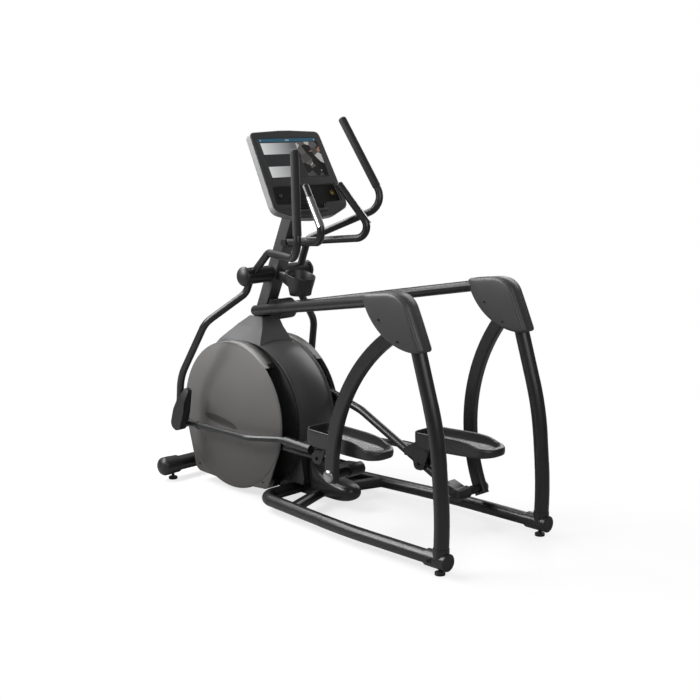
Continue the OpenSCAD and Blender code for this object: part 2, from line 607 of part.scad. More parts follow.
module tail_shape(d) polygon(soft([[1022 + (d > 0 ? 10 : 0), 208, 0], [1014, 262, 0],
    [990 - d, 240 - d, 40], [950 - d, 168 - d, 60], [878, 134 - d, 60], [800, 122 - d, 30],
    [752 + d, 98, 14], [756 + d, 66 + d, 10], [850, 36 + (d > 0 ? -10 : 0), 30],
        [940, 40 - (d > 0 ? 14 : 0), 20], [1003 + (d > 0 ? 10 : 0), 118 - d, 20]]));
module tail_cover() color("#2c2c2d") placed() difference() {
    intersection() {
        slab(-58, 58) tail_shape(0);
        linear_extrude(400) polygon(soft([[-58, 1100, 0], [58, 1100, 0], [58, 752, 46], [-58, 752, 46]]));
    }
    intersection() {
        slab(-58 + wall, 58 - wall) tail_shape(wall);
        linear_extrude(400) polygon(soft([[-58 + wall, 1100, 0], [58 - wall, 1100, 0],
            [58 - wall, 752 + wall, 42], [-58 + wall, 752 + wall, 42]]));
    }
    chevron(25 + gap);
    shroud_body(gap);
    box(-spine_w / 2 - gap, spine_w / 2 + gap, 940, 1100, 0, spine_z1 + gap);
    slab(-84 - gap, 84 + gap) polygon([[1300, 300], [1004, 300], [1020, 208], [1002, 118], [1008, 60],
        [1300, 60]]);
}
module neck_side(d) polygon([[1268 + d * 1.2, 676], [1312 + d, 812 - d], [1396 - d, 812 - d],
    [1470 - d, 764 - d], [1540 - d, 704 - d], [1610 - d, 640 - d], [1680 - d * 2, 560], [1300 + d, 500]]);
module neck_front(d) polygon([[-38 + d, 850 - d], [38 - d, 850 - d], [64 - d, 760], [100 - d, 690],
    [104 - d, 500], [-104 + d, 500], [-100 + d, 690], [-64 + d, 760]]);
module neck_solid(d) intersection() {
    slab(-120, 120) neck_side(d);
    translate([0, 1800, 0]) rotate([90, 0, 0]) linear_extrude(700) neck_front(d);
}
module neck_cover() color("#6a6a6c") placed() difference() {
    neck_solid(0);
    neck_solid(wall);
    shroud_body(gap);
    turned(mast_foot, mast_lean) box(-mast_w / 2 - gap, mast_w / 2 + gap, -mast_t / 2 - gap,
        mast_t / 2 + gap, 0, 800);
    both() bar(rail_top, rail_foot + [-30, 114, -20.4], top_rail_d / 2 + gap);
    across([1222, 857], -60, 60, 46 + gap);
}

// ---- drive ----
module crank() color("#55565a") placed() {
    across(crank_c, -116, 116, 15);
    for (s = [-1, 1]) on_side(s) translate([0, crank_c.x, crank_c.y])
        rotate([-crank_rest + (s > 0 ? 180 : 0), 0, 0]) {
        slab(100, 116) { circle(r = 30); translate([crank_r, 0]) circle(r = 24);
            polygon([[0, -30], [crank_r, -24], [crank_r, 24], [0, 30]]); }
        across([crank_r, 0], 115, arm_x - 19.6, 12);
    }
}
pulley_r = 130;
module drive_pulley() color("#3f4042") placed() difference() {
    union() {
        across(crank_c, -58, -43, pulley_r);
        across(crank_c, -62, -37, 32);
    }
    for (i = [0:5]) across(crank_c + turn([78, 0], i * 60 + 30), -80, -20, 26);
    across(crank_c, -80, -20, 15 + play);
}
small_r = 28;
module belt_shape(d) {
    q = elev(wheel_c - crank_c); g = acos((pulley_r - small_r) / norm(wheel_c - crank_c));
    translate(crank_c) circle(r = pulley_r + d, $fn = 180);
    translate(wheel_c) circle(r = small_r + d);
    polygon([crank_c + turn([pulley_r + d, 0], q + g), wheel_c + turn([small_r + d, 0], q + g),
        wheel_c + turn([small_r + d, 0], q - g), crank_c + turn([pulley_r + d, 0], q - g)]);
}
module drive_belt() color("#161617") placed() slab(-56, -45) difference() { belt_shape(3.3);
    belt_shape(gap); }
module flywheel() color("#6d6e72") placed() {
    across(wheel_c, -62, 44, 10);
    across(wheel_c, -24, 24, 84);
    across(wheel_c, -28, 28, 26);
    across(wheel_c, -58, -43, small_r);
}

// ---- cup, fixed bar and console ----
module cup_holder() color("#262627") placed() difference() {
    union() {
        translate([0, 1108, 928]) cylinder(r1 = 48, r2 = 66, h = 112);
        // pointed rim and bracket towards the mast
        translate([0, 0, 1000]) linear_extrude(40) polygon(soft([[-40, 1150, 0], [0, 1086, 0],
            [40, 1150, 0], [24, 1260, 6], [-24, 1260, 6]]));
        slab(-14, 14) polygon([[1120, 928], [1146, 928], [1290, 980], [1290, 1010], [1120, 1010]]);
    }
    translate([0, 1108, 933]) cylinder(r1 = 44.8, r2 = 62.2, h = 108);
    turned(mast_foot, mast_lean) box(-60, 60, -mast_t / 2 - gap, 100, 0, 800);
}
fixed_run = [[-102, 963, 1420], [-152, 782, 1200], [0, 1190, 1160], [152, 782, 1200], [102, 963, 1420]];
fixed_up = unit(fixed_run[4] - fixed_run[3]);
module fixed_handlebar() color("#2a2a2c") placed() difference() {
    union() {
        both() {
            tube([fixed_run[4] - fixed_up * 30, fixed_run[3], [30, 1160, 1163]], bar_d / 2, [52]);
            knob(fixed_run[4] - fixed_up * 40, fixed_run[4], bar_d / 2 + 0.12, 9);
        }
        bar([-62, 1152, 1163], [62, 1152, 1163], bar_d / 2);
        slab(-24, 24) polygon([[1152, 1146], [1260, 1120], [1260, 1200], [1152, 1180]]);
    }
    turned(mast_foot, mast_lean) box(-90, 90, -mast_t / 2 - gap, 100, 0, 900);
    for (s = [-1, 1]) pulse_cut(s, 0);
}
module pulse_cut(s, d) {
    a = s < 0 ? fixed_run[1] : fixed_run[3];
    u = unit((s < 0 ? fixed_run[0] : fixed_run[4]) - a);
    outward = unit([s, 0, 0] - s * u.x * u);
    // only the outer half of the bar carries a plate
    intersection() {
        difference() {
            bar(a + u * (72 + d), a + u * (228 - d), bar_d / 2 + 1.1);
            bar(a + u * 60, a + u * 250, bar_d / 2 - 1.2 + d);
        }
        frame_at(a, outward, u, cross(outward, u)) translate([d, 0, -40]) cube([40, 300, 80]);
    }
}
module pulse_plates() color("#b9babc") placed() for (s = [-1, 1]) pulse_cut(s, 0.1);

function console_edge(d) = soft([[-206 + d, console_h - 196 - d, 26], [0, console_h - 186 - d, 600],
    [206 - d, console_h - 196 - d, 26], [222 - d, -176 + d, 40], [120, -213 + d, 160],
    [0, -222 + d, 300], [-120, -213 + d, 160], [-222 + d, -176 + d, 40]]);
screen_y = console_h - 322;
// recess for the keys: wide field with a tray in the middle
pad = soft([[-186, -62, 10], [186, -62, 10], [198, -146, 14], [92, -150, 8], [84, -176, 12],
    [-84, -176, 12], [-92, -150, 8], [-198, -146, 14]]);
module console_shell() color("#8a8b8d") placed() on_console() difference() {
    union() {
        translate([0, 0, -30]) linear_extrude(30) polygon(console_edge(0));
        translate([0, 0, -38]) linear_extrude(8.01) polygon(console_edge(7));
        translate([0, 0, -console_t]) linear_extrude(9) polygon(console_edge(18));
    }
    translate([0, 0, -4]) linear_extrude(10) polygon(console_edge(4));
    box(-screen_w / 2 - 1, screen_w / 2 + 1, screen_y - screen_h / 2 - 1, screen_y + screen_h / 2 + 1,
        -14, 0);
    translate([0, 0, -16]) linear_extrude(20) polygon(pad);
}
module console_face() color("#4b4c4e") placed() on_console() difference() {
    union() {
        translate([0, 0, -4 + gap]) linear_extrude(6) polygon(console_edge(4.3));
        // ledge under the keys
        translate([0, -186, 0]) rotate([0, 90, 0]) translate([0, 0, -82]) cylinder(r = 9, h = 164);
    }
    box(-screen_w / 2 - 0.3, screen_w / 2 + 0.3, screen_y - screen_h / 2 - 0.3,
        screen_y + screen_h / 2 + 0.3, -14, 10);
    translate([0, 0, -16]) linear_extrude(30) polygon(pad);
    box(-300, 300, -300, 300, -30, -4 + gap);
}
module screen() color("#11161a") placed() on_console() box(-screen_w / 2, screen_w / 2,
    screen_y - screen_h / 2, screen_y + screen_h / 2, -14 + gap, 1.4);
keys = [[158, -104], [-150, -104]];
module keypad() color("#17130f") placed() on_console() difference() {
    intersection() {
        translate([0, -104, -16 + gap]) linear_extrude(30) scale([0.994, 0.994])
            translate([0, 104]) polygon(pad);
        slab(-250, 250) polygon([[-200, -20], [-50, -20], [-50, -6], [-62, -6], [-150, -10], [-200, -10]]);
    }
    for (p = keys) translate([p.x, p.y, -20]) cylinder(r = 13 + play * 4, h = 40);
    // shallow tray
    box(-70, 70, -170, -152, -12.5, 10);
}
module key_cap(p) placed() on_console() { translate([p.x, p.y, -12.6]) cylinder(r = 13, h = 7.2); }
module start_button() color("#c9d64a") key_cap(keys[0]);
module stop_key() color("#2b2622") key_cap(keys[1]);

base_frame();
front_stabiliser();
stabiliser_caps();
front_feet();
rear_clamps();
clamp_screws();
rail_end_caps();
rear_feet();
side_frame_left();
side_frame_right();
mast();
rail_saddle();
cover_outer();
cover_inner();
cover_band();
trim_screws();
swing_arm_left();
swing_arm_right();
arm_pin_left();
arm_pin_right();
pin_cap_left();
pin_cap_right();
pedal_arm_left();
pedal_arm_right();
pedal_bracket_left();
pedal_bracket_right();
foot_rod_left();
foot_rod_right();
pedal_left();
pedal_right();
tread_left();
tread_right();
handlebar_left();
handlebar_right();
grip_left();
grip_right();
joint_cover_left();
joint_cover_right();
pivot_tube();
pivot_caps();
disc_left();
disc_right();
disc_plates();
centre_shroud();
tail_cover();
neck_cover();
crank();
drive_pulley();
drive_belt();
flywheel();
cup_holder();
fixed_handlebar();
pulse_plates();
console_shell();
console_face();
screen();
keypad();
start_button();
stop_key();
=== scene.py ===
import json
import math

import bmesh
import bpy
from bpy.props import FloatProperty, FloatVectorProperty, IntProperty, PointerProperty
from mathutils import Matrix, Vector


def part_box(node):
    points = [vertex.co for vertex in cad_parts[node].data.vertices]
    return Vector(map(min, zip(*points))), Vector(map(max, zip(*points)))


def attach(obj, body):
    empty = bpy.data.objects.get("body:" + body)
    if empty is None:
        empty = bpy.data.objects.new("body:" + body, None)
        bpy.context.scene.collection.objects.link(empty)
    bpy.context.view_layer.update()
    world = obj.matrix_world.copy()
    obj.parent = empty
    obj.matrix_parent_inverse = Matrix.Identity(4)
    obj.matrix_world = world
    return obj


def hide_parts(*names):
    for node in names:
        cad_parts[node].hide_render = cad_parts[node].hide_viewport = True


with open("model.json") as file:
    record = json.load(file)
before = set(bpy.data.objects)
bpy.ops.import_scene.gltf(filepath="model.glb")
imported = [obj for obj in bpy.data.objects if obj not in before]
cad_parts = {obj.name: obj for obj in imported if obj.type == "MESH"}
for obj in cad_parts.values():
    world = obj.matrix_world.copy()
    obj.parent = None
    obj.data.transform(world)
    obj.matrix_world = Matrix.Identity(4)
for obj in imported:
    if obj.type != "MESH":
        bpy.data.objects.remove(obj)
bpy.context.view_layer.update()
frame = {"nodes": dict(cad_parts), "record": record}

bl_info = {
    "name": "Suspension elliptical trainer",
    "version": (1, 0, 0),
    "blender": (4, 5, 0),
    "location": "View3D > Sidebar > Trainer",
    "description": "Dresses the packed trainer: finishes, pedals, screen, keys and the studio stage",
    "category": "Object",
}

NODES = frame["nodes"]
SUBPARTS = frame["record"]["subparts"]
BODIES = frame["record"]["behaviour"]["bodies"]
BODY_OF = {node: body for body, members in BODIES.items() for node in members}
SLOT_OF = {row["node"]: row["material_slot"] for row in SUBPARTS}
SIDES = {"left": -1, "right": 1}
FINISH = {}  # material slot: finished material, filled by the first operator


def colour(name, value, about):
    """A colour that a user can change."""
    return FloatVectorProperty(name=name, description=about, default=value, size=3, min=0, max=1,
                               subtype="COLOR")


def length(name, value, about):
    """A length in metres that a user can change."""
    return FloatProperty(name=name, description=about, default=value, min=0, unit="LENGTH")


def watts(name, value, about):
    """A lamp's power that a user can change."""
    return FloatProperty(name=name, description=about, default=value, min=0, unit="POWER")


class TrainerFinishes(bpy.types.PropertyGroup):
    frame_paint: colour("Frame paint", (0.009, 0.009, 0.0093), "Powder coat of the floor frame and uprights")
    arm_paint: colour("Arm paint", (0.0095, 0.0095, 0.0098), "Powder coat of the moving arms and handlebars")
    mast_paint: colour("Mast paint", (0.05, 0.05, 0.052), "Powder coat of the mast")
    cover_plastic: colour("Knuckle covers", (0.055, 0.055, 0.056), "Covers over the rear knuckles")
    # painted shade: the side covers are lighter at the top and darker at the foot, as light falls from above
    disc_top: colour("Side cover, top", (0.165, 0.162, 0.157), "Upper colour of the round side covers")
    disc_foot: colour("Side cover, foot", (0.066, 0.062, 0.060), "Lower colour of the round side covers")
    shroud_plastic: colour("Shroud", (0.06, 0.06, 0.061), "Plastic of the centre shroud and neck")
    trim_black: colour("Black trim", (0.012, 0.012, 0.0125), "Caps, cups and small black mouldings")
    grip_foam: colour("Grip foam", (0.0055, 0.0055, 0.0057), "Soft grips of the handlebars")
    console_shell: colour("Console shell", (0.26, 0.26, 0.264), "Rear shell of the console")
    console_face: colour("Console face", (0.044, 0.044, 0.0455), "Front moulding of the console")
    start_key: colour("Start key", (0.55, 0.62, 0.06), "Start key of the console")


class TrainerSizes(bpy.types.PropertyGroup):
    disc_rim: length("Side cover rim", 0.009, "Rounding of the rim of the side covers")
    rib_count: IntProperty(name="Tread ribs", description="Ribs on each footplate", default=8, min=1)
    rib_spacing: length("Rib spacing", 0.0145, "Distance between the tread ribs")
    rib_width: length("Rib width", 0.0062, "Width of a tread rib")
    rib_length: length("Rib length", 0.292, "Length of a tread rib")
    cup_slant: length("Cup slant", 0.034, "How much lower the cup's rim is at the back")
    shroud_foot: length("Shroud foot", 0.004, "Height of the shroud's flat foot above the floor")
    mark_size: length("Key mark", 0.0105, "Width of the small frame printed on a key")
    mark_spacing: length("Key mark spacing", 0.037, "Distance between the marks on the keypad")
    grain: length("Grain", 0.0011, "Cell size of the grain on plastic parts")
    rounding: FloatProperty(name="Edge rounding", description="Share of its own rounding each edge gets",
                            default=1.0, min=0, soft_max=2, subtype="FACTOR")


class TrainerStage(bpy.types.PropertyGroup):
    eye: FloatVectorProperty(name="Camera place", description="Where the camera stands", size=3,
                             default=(-3.81715, -3.85023, 1.75263), subtype="TRANSLATION")
    yaw: FloatProperty(name="Yaw", description="Heading of the camera, clockwise from +Y",
                       default=math.radians(45.314), subtype="ANGLE")
    pitch: FloatProperty(name="Pitch", description="Downward tilt of the camera",
                         default=math.radians(10.866), subtype="ANGLE")
    lens: FloatProperty(name="Lens", description="Focal length of the camera", default=65.1, min=1,
                        unit="CAMERA")
    floor_reach: length("Floor reach", 30.0, "Half width of the floor")
    key_power: watts("Key light", 100.0, "Power of the main soft light")
    top_power: watts("Top light", 150.0, "Power of the overhead light")
    side_power: watts("Side light", 46.0, "Power of the right side light")
    fill_power: watts("Fill light", 44.0, "Power of the fill light")
    sky: FloatProperty(name="Sky", description="Strength of the plain surroundings on the object",
                       default=0.17, min=0)


def finishes():
    """The colours that a user can change."""
    return bpy.context.scene.trainer_finishes


def sizes():
    """The sizes that a user can change."""
    return bpy.context.scene.trainer_sizes


def stage_settings():
    """The camera, lamps and sky that a user can change."""
    return bpy.context.scene.trainer_stage


class Recipe:
    """A material under construction: makes nodes and joins them in one call."""

    NOISE_RANGE = (0.3, 0.7)  # nearly all of a noise lies between these

    def __init__(self, name):
        self.material = bpy.data.materials.new(name)
        self.material.use_nodes = True
        self.tree = self.material.node_tree
        self.shader = self.tree.nodes["Principled BSDF"]
        self.place = self.tree.nodes.new("ShaderNodeTexCoord").outputs["Object"]

    def node(self, kind, **values):
        """A shader node with its settings."""
        made = self.tree.nodes.new("ShaderNode" + kind)
        for key, value in values.items():
            setattr(made, key, value)
        return made

    def link(self, source, socket):
        self.tree.links.new(source, socket)

    def feed(self, value, socket):
        """Joins a socket to its source, or sets it to a number or a colour."""
        if isinstance(value, bpy.types.NodeSocket):
            self.link(value, socket)
        elif socket.type == "RGBA":
            socket.default_value = (*value, 1)
        else:
            socket.default_value = value

    def mapped(self, kind="POINT", **settings):
        """Object coordinates after a Mapping node."""
        mapping = self.node("Mapping", vector_type=kind)
        for key, value in settings.items():
            mapping.inputs[key].default_value = value
        self.link(self.place, mapping.inputs["Vector"])
        return mapping.outputs[0]

    def axes(self, vector=None):
        """The X, Y and Z of the object coordinates or of another vector."""
        parts = self.node("SeparateXYZ")
        self.link(vector or self.place, parts.inputs[0])
        return parts.outputs

    def noise(self, scale, detail=3.0, rough=0.5, vector=None):
        """A cloudy pattern from 0 to 1."""
        noise = self.node("TexNoise")
        noise.inputs["Scale"].default_value = scale
        noise.inputs["Detail"].default_value = detail
        noise.inputs["Roughness"].default_value = rough
        self.link(vector or self.place, noise.inputs["Vector"])
        return noise.outputs["Fac"]

    def cells(self, scale, randomness=1.0, vector=None):
        """The outputs of a cell pattern."""
        cells = self.node("TexVoronoi")
        cells.inputs["Scale"].default_value = scale
        cells.inputs["Randomness"].default_value = randomness
        self.link(vector or self.place, cells.inputs["Vector"])
        return cells.outputs

    def span(self, source, low, high, to_low=0, to_high=1):
        """The source carried from one range to another and held inside it."""
        made = self.node("MapRange")
        for key, value in (("From Min", low), ("From Max", high), ("To Min", to_low), ("To Max", to_high)):
            made.inputs[key].default_value = value
        self.link(source, made.inputs["Value"])
        return made.outputs[0]

    def maths(self, operation, *values):
        """One sum on sockets or numbers."""
        made = self.node("Math", operation=operation)
        for value, socket in zip(values, made.inputs):
            self.feed(value, socket)
        return made.outputs[0]

    def above(self, value, limit):
        return self.maths("GREATER_THAN", value, limit)

    def below(self, value, limit):
        return self.maths("LESS_THAN", value, limit)

    def both(self, first, second):
        """1 where both marks are 1."""
        return self.maths("MULTIPLY", first, second)

    def between(self, value, low, high):
        return self.both(self.above(value, low), self.below(value, high))

    def mix(self, factor, first, second):
        """The second colour over the first, by a factor."""
        made = self.node("Mix", data_type="RGBA")
        for value, socket in zip((factor, first, second), (made.inputs[0], made.inputs[6], made.inputs[7])):
            self.feed(value, socket)
        return made.outputs[2]

    def tint(self, noise, dark, light, inside=NOISE_RANGE):
        """A colour that drifts with a noise."""
        return self.mix(self.span(noise, *inside), dark, light)

    def base(self, value):
        self.feed(value, self.shader.inputs["Base Color"])

    def roughen(self, noise, low, high, inside=NOISE_RANGE):
        """Roughness that drifts with a noise."""
        self.link(self.span(noise, *inside, low, high), self.shader.inputs["Roughness"])

    def bump(self, height, strength, distance):
        made = self.node("Bump")
        made.inputs["Strength"].default_value = strength
        made.inputs["Distance"].default_value = distance
        self.link(height, made.inputs["Height"])
        self.link(made.outputs[0], self.shader.inputs["Normal"])

    def set(self, **values):
        for key, value in values.items():
            self.shader.inputs[key.replace("_", " ")].default_value = value


def shade(rgb, by):
    """The colour made darker or lighter."""
    return tuple(min(1, c * by) for c in rgb)


def powder_coat(name, rgb, rough=0.36):
    """Satin powder coat: faint orange peel, a cloudy tone and a soft gloss."""
    recipe = Recipe(name)
    cloud = recipe.noise(scale=9, detail=4)
    recipe.base(recipe.tint(cloud, shade(rgb, 0.88), shade(rgb, 1.12)))
    recipe.roughen(cloud, rough - 0.04, rough + 0.05)
    recipe.bump(recipe.noise(scale=1400, detail=2), strength=0.10, distance=0.0003)
    recipe.set(Coat_Weight=0.22, Coat_Roughness=0.32)
    return recipe.material


def moulded(name, rgb, rough=0.45, grain=0.12, foot=None, shade_fade_height=(0.0, 1.0), inside=None):
    """Moulded plastic with a fine grain; the darker foot colour fades in below as painted shade, and black
    painted shade fills what inside() marks.
    """
    # painted shade: black put on the recesses and openings that inside() marks, where shade falls
    painted_shade_black = (0.004, 0.004, 0.004)
    fade = 1.6  # above 1 it keeps more of the foot colour
    recipe = Recipe(name)
    cloud = recipe.noise(scale=5)
    tone = recipe.tint(cloud, shade(rgb, 0.95), shade(rgb, 1.05))
    # painted shade: the darker foot colour fades in towards the bottom, where less light falls
    if foot:
        height = recipe.maths("POWER", recipe.span(recipe.axes()["Z"], *shade_fade_height), fade)
        tone = recipe.mix(height, foot, tone)
    if inside:
        tone = recipe.mix(inside(recipe), tone, painted_shade_black)
    recipe.base(tone)
    recipe.roughen(cloud, rough - 0.03, rough + 0.04)
    recipe.bump(recipe.cells(scale=1 / sizes().grain)["Distance"], strength=grain, distance=0.0002)
    return recipe.material


def turned_steel(name, rgb, rough=0.25):
    """Machined metal with fine turning marks."""
    recipe = Recipe(name)
    lines = recipe.noise(scale=60, detail=2, vector=recipe.mapped(Scale=(40, 1, 1)))
    recipe.base(recipe.mix(lines, shade(rgb, 0.85), rgb))
    recipe.roughen(lines, rough - 0.06, rough + 0.08)
    recipe.bump(lines, strength=0.06, distance=0.0003)
    recipe.set(Metallic=1.0)
    return recipe.material


def satin_metal(name, rgb, rough=0.3):
    """Brushed and plated metal: a faint cloud in its tone and its gloss."""
    recipe = Recipe(name)
    cloud = recipe.noise(scale=24)
    recipe.base(recipe.tint(cloud, shade(rgb, 0.93), rgb))
    recipe.roughen(cloud, rough - 0.03, rough + 0.04)
    recipe.bump(recipe.noise(scale=1800, detail=2), strength=0.04, distance=0.0002)
    recipe.set(Metallic=1.0)
    return recipe.material


def soft_foam(name, rgb):
    """Closed foam: fine pores and a dull sheen."""
    pore_range = (0.35, 0.65)
    recipe = Recipe(name)
    pores = recipe.noise(scale=900, detail=5, rough=0.65)
    recipe.base(recipe.tint(pores, shade(rgb, 0.7), shade(rgb, 1.5), inside=pore_range))
    recipe.roughen(pores, 0.6, 0.78, inside=pore_range)
    recipe.bump(pores, strength=0.35, distance=0.0006)
    recipe.set(Sheen_Weight=0.15)
    return recipe.material


def shaded_beyond_sides(limit):
    """Marks what lies further from the middle plane than the limit, to be painted black as shade."""
    def inside(recipe):
        return recipe.above(recipe.maths("ABSOLUTE", recipe.axes()["X"]), limit)
    return inside


def shaded_rear_slot(depth, behind):
    """Marks the walls of the slot at the back of a side cover, to be painted black as shade."""
    def inside(recipe):
        axes = recipe.axes()
        near = recipe.below(recipe.maths("ABSOLUTE", axes["X"]), depth)
        return recipe.both(near, recipe.below(axes["Y"], behind))
    return inside


def flat_place(recipe, node):
    """Object coordinates turned into a tilted node's own plane, in metres from its middle."""
    tilt, low, high = own_frame(node)
    middle = Matrix.Rotation(tilt, 3, "X") @ ((low + high) / 2)
    return recipe.axes(recipe.mapped("TEXTURE", Rotation=(tilt, 0, 0), Location=middle))[:2]


def screen_pattern(recipe, v):
    """An abstract pattern of dark and pale patches, with warm ones near the top."""
    patches = recipe.cells(scale=26, randomness=0.9, vector=recipe.mapped(Rotation=(0.5, 0.6, 0.4)))
    draw = recipe.node("SeparateColor")
    recipe.link(patches["Color"], draw.inputs[0])
    grey, pale, warm = draw.outputs
    tone = recipe.mix(recipe.span(grey, 0.45, 0.55), (0.014, 0.013, 0.013), (0.10, 0.096, 0.092))
    tone = recipe.mix(recipe.above(pale, 0.80), tone, (0.42, 0.42, 0.41))
    return recipe.mix(recipe.both(recipe.above(warm, 0.55), recipe.below(v, 0.36)), tone, (0.30, 0.16, 0.10))


def screen_picture(name):
    """The lit screen: a title band, two pale panels and a soft abstract pattern at the right."""
    dark, band, label = (0.026, 0.027, 0.029), (0.03, 0.095, 0.15), (0.5, 0.55, 0.58)
    recipe = Recipe(name)
    x, y = flat_place(recipe, "screen")
    low, high = own_frame("screen")[1:]
    half = (high - low) / 2
    # u runs from 0 to 1 across the screen, and v from 0 to 1 down it
    u = recipe.span(x, -half.x, half.x)
    v = recipe.span(y, half.y, -half.y)

    def panel(u0, u1, v0, v1):
        return recipe.both(recipe.between(u, u0, u1), recipe.between(v, v0, v1))

    pale = recipe.mix(recipe.span(u, 0.05, 0.55), (0.62, 0.63, 0.63), (0.13, 0.135, 0.14))
    ragged = recipe.maths("ADD", u, recipe.maths("MULTIPLY", recipe.noise(scale=14, detail=2), 0.16))
    at_right = recipe.both(recipe.above(ragged, 0.70), recipe.between(v, 0.11, 0.965))
    picture = recipe.mix(panel(0.02, 0.75, 0.12, 0.40), dark, pale)
    picture = recipe.mix(panel(0.02, 0.46, 0.70, 0.965), picture, pale)
    picture = recipe.mix(at_right, picture, screen_pattern(recipe, v))
    picture = recipe.mix(panel(0.01, 0.99, 0.015, 0.095), picture, band)
    for start, end in ((0.03, 0.045), (0.46, 0.49), (0.50, 0.52), (0.955, 0.97)):
        picture = recipe.mix(panel(start, end, 0.045, 0.068), picture, label)
    recipe.base(picture)
    recipe.link(picture, recipe.shader.inputs["Emission Color"])
    recipe.set(Roughness=0.12, Emission_Strength=0.5)
    return recipe.material


def ringed_key(name, node, ring, centre):
    """A dark key with a thin coloured ring and a small coloured centre."""
    ring_radii, dot_radius = (0.0088, 0.0108), 0.0042
    recipe = Recipe(name)
    x, y = flat_place(recipe, node)
    squares = recipe.maths("ADD", recipe.maths("MULTIPLY", x, x), recipe.maths("MULTIPLY", y, y))
    away = recipe.maths("SQRT", squares)
    tone = recipe.mix(recipe.between(away, *ring_radii), (0.012, 0.011, 0.010), ring)
    recipe.base(recipe.mix(recipe.below(away, dot_radius), tone, centre))
    recipe.bump(recipe.noise(scale=700, detail=2), strength=0.05, distance=0.0002)
    recipe.roughen(recipe.noise(scale=30), 0.26, 0.34)
    return recipe.material


def make_materials():
    """A finished material for each material slot, and for the ribs and key marks."""
    chosen = finishes()
    return {
        "frame_charcoal": powder_coat("frame_powder_coat", chosen.frame_paint),
        "mast_charcoal": powder_coat("mast_powder_coat", chosen.mast_paint),
        "arm_charcoal": powder_coat("arm_powder_coat", chosen.arm_paint),
        "cap_black": moulded("black_cap_plastic", chosen.trim_black, rough=0.42),
        "foot_rubber": soft_foam("foot_rubber", shade(chosen.trim_black, 0.8)),
        "screw_black": turned_steel("black_screw_steel", (0.05, 0.05, 0.052), rough=0.4),
        # painted shade: the knuckle covers darken towards the foot
        "cover_grey": moulded("knuckle_cover_plastic", chosen.cover_plastic, rough=0.42, grain=0.1,
                              foot=shade(chosen.cover_plastic, 0.72), shade_fade_height=(0.86, 1.04)),
        # painted shade: the side covers darken towards the foot, and the walls of their rear slot are painted
        # black
        "disc_grey": moulded("side_cover_plastic", chosen.disc_top, rough=0.46, grain=0.1,
                             foot=chosen.disc_foot, shade_fade_height=(0.05, 0.68),
                             inside=shaded_rear_slot(depth=0.15, behind=0.30)),
        "plate_dark": moulded("bare_plate_plastic", (0.045, 0.043, 0.042), rough=0.3, grain=0.05),
        # painted shade: the shroud darkens towards the foot, and its sides beyond the crowned band are
        # painted black
        "shroud_grey": moulded("shroud_plastic", chosen.shroud_plastic, rough=0.38, grain=0.08,
                               foot=shade(chosen.shroud_plastic, 0.5), shade_fade_height=(0.1, 0.6),
                               inside=shaded_beyond_sides(limit=0.1085)),
        "tail_grey": moulded("tail_plastic", (0.02, 0.02, 0.0205), rough=0.3, grain=0.06),
        # painted light: the neck is the shroud's plastic painted lighter
        "neck_grey": moulded("neck_plastic_painted_light", shade(chosen.shroud_plastic, 1.9), rough=0.42, grain=0.1),
        "pin_steel": turned_steel("blackened_steel", (0.055, 0.055, 0.057), rough=0.34),
        "chrome": satin_metal("satin_chrome", (0.42, 0.42, 0.425), rough=0.32),
        "pulley_grey": turned_steel("cast_pulley", (0.06, 0.06, 0.062), rough=0.4),
        "belt_black": soft_foam("belt_rubber", (0.015, 0.015, 0.015)),
        "pedal_black": moulded("pedal_plastic", (0.022, 0.022, 0.0225), rough=0.32),
        "tread_grey": moulded("tread_rubber", (0.03, 0.03, 0.031), rough=0.5, grain=0.25),
        "grip_foam": soft_foam("grip_foam", chosen.grip_foam),
        "cup_black": moulded("cup_plastic", shade(chosen.trim_black, 1.6), rough=0.4, grain=0.1),
        "console_grey": moulded("console_shell_plastic", chosen.console_shell, rough=0.4, grain=0.1),
        "console_dark": moulded("console_face_plastic", chosen.console_face, rough=0.42, grain=0.1),
        "keypad_brown": moulded("keypad_film", (0.012, 0.0105, 0.0095), rough=0.2, grain=0.03),
        "start_green": ringed_key("start_key_film", "start_button", (0.55, 0.19, 0.02), chosen.start_key),
        # painted highlight: the tread ribs are painted light grey for the light on their tops
        "rib_highlight_grey": moulded("tread_rib_rubber_painted_highlight", (0.30, 0.30, 0.303), rough=0.4, grain=0.05),
        "mark_white": moulded("printed_mark", (0.55, 0.55, 0.54), rough=0.4, grain=0.02),
        "screen_glass": screen_picture("lit_screen"),
    }


def place(name, mesh, slot, body, stands_for=()):
    """Puts a finished mesh in the scene as a piece of the trainer."""
    piece = bpy.data.objects.new(name, mesh)
    bpy.context.scene.collection.objects.link(piece)
    if not mesh.materials:
        mesh.materials.append(FINISH[slot])
    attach(piece, body)
    if stands_for:
        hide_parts(*stands_for)


def baked(name, mesh, *modifiers):
    """The mesh with its modifiers applied: each is a kind and its settings."""
    carrier = bpy.data.objects.new(name, mesh)
    bpy.context.scene.collection.objects.link(carrier)
    for kind, settings in modifiers:
        modifier = carrier.modifiers.new(kind, kind)
        for key, value in settings.items():
            if key.startswith("Socket"):
                modifier[key] = value
            else:
                setattr(modifier, key, value)
    graph = bpy.context.evaluated_depsgraph_get()
    result = bpy.data.meshes.new_from_object(carrier.evaluated_get(graph), preserve_all_data_layers=True,
                                             depsgraph=graph)
    carrier.modifiers.clear()
    bpy.data.objects.remove(carrier)
    result.name = name
    return result


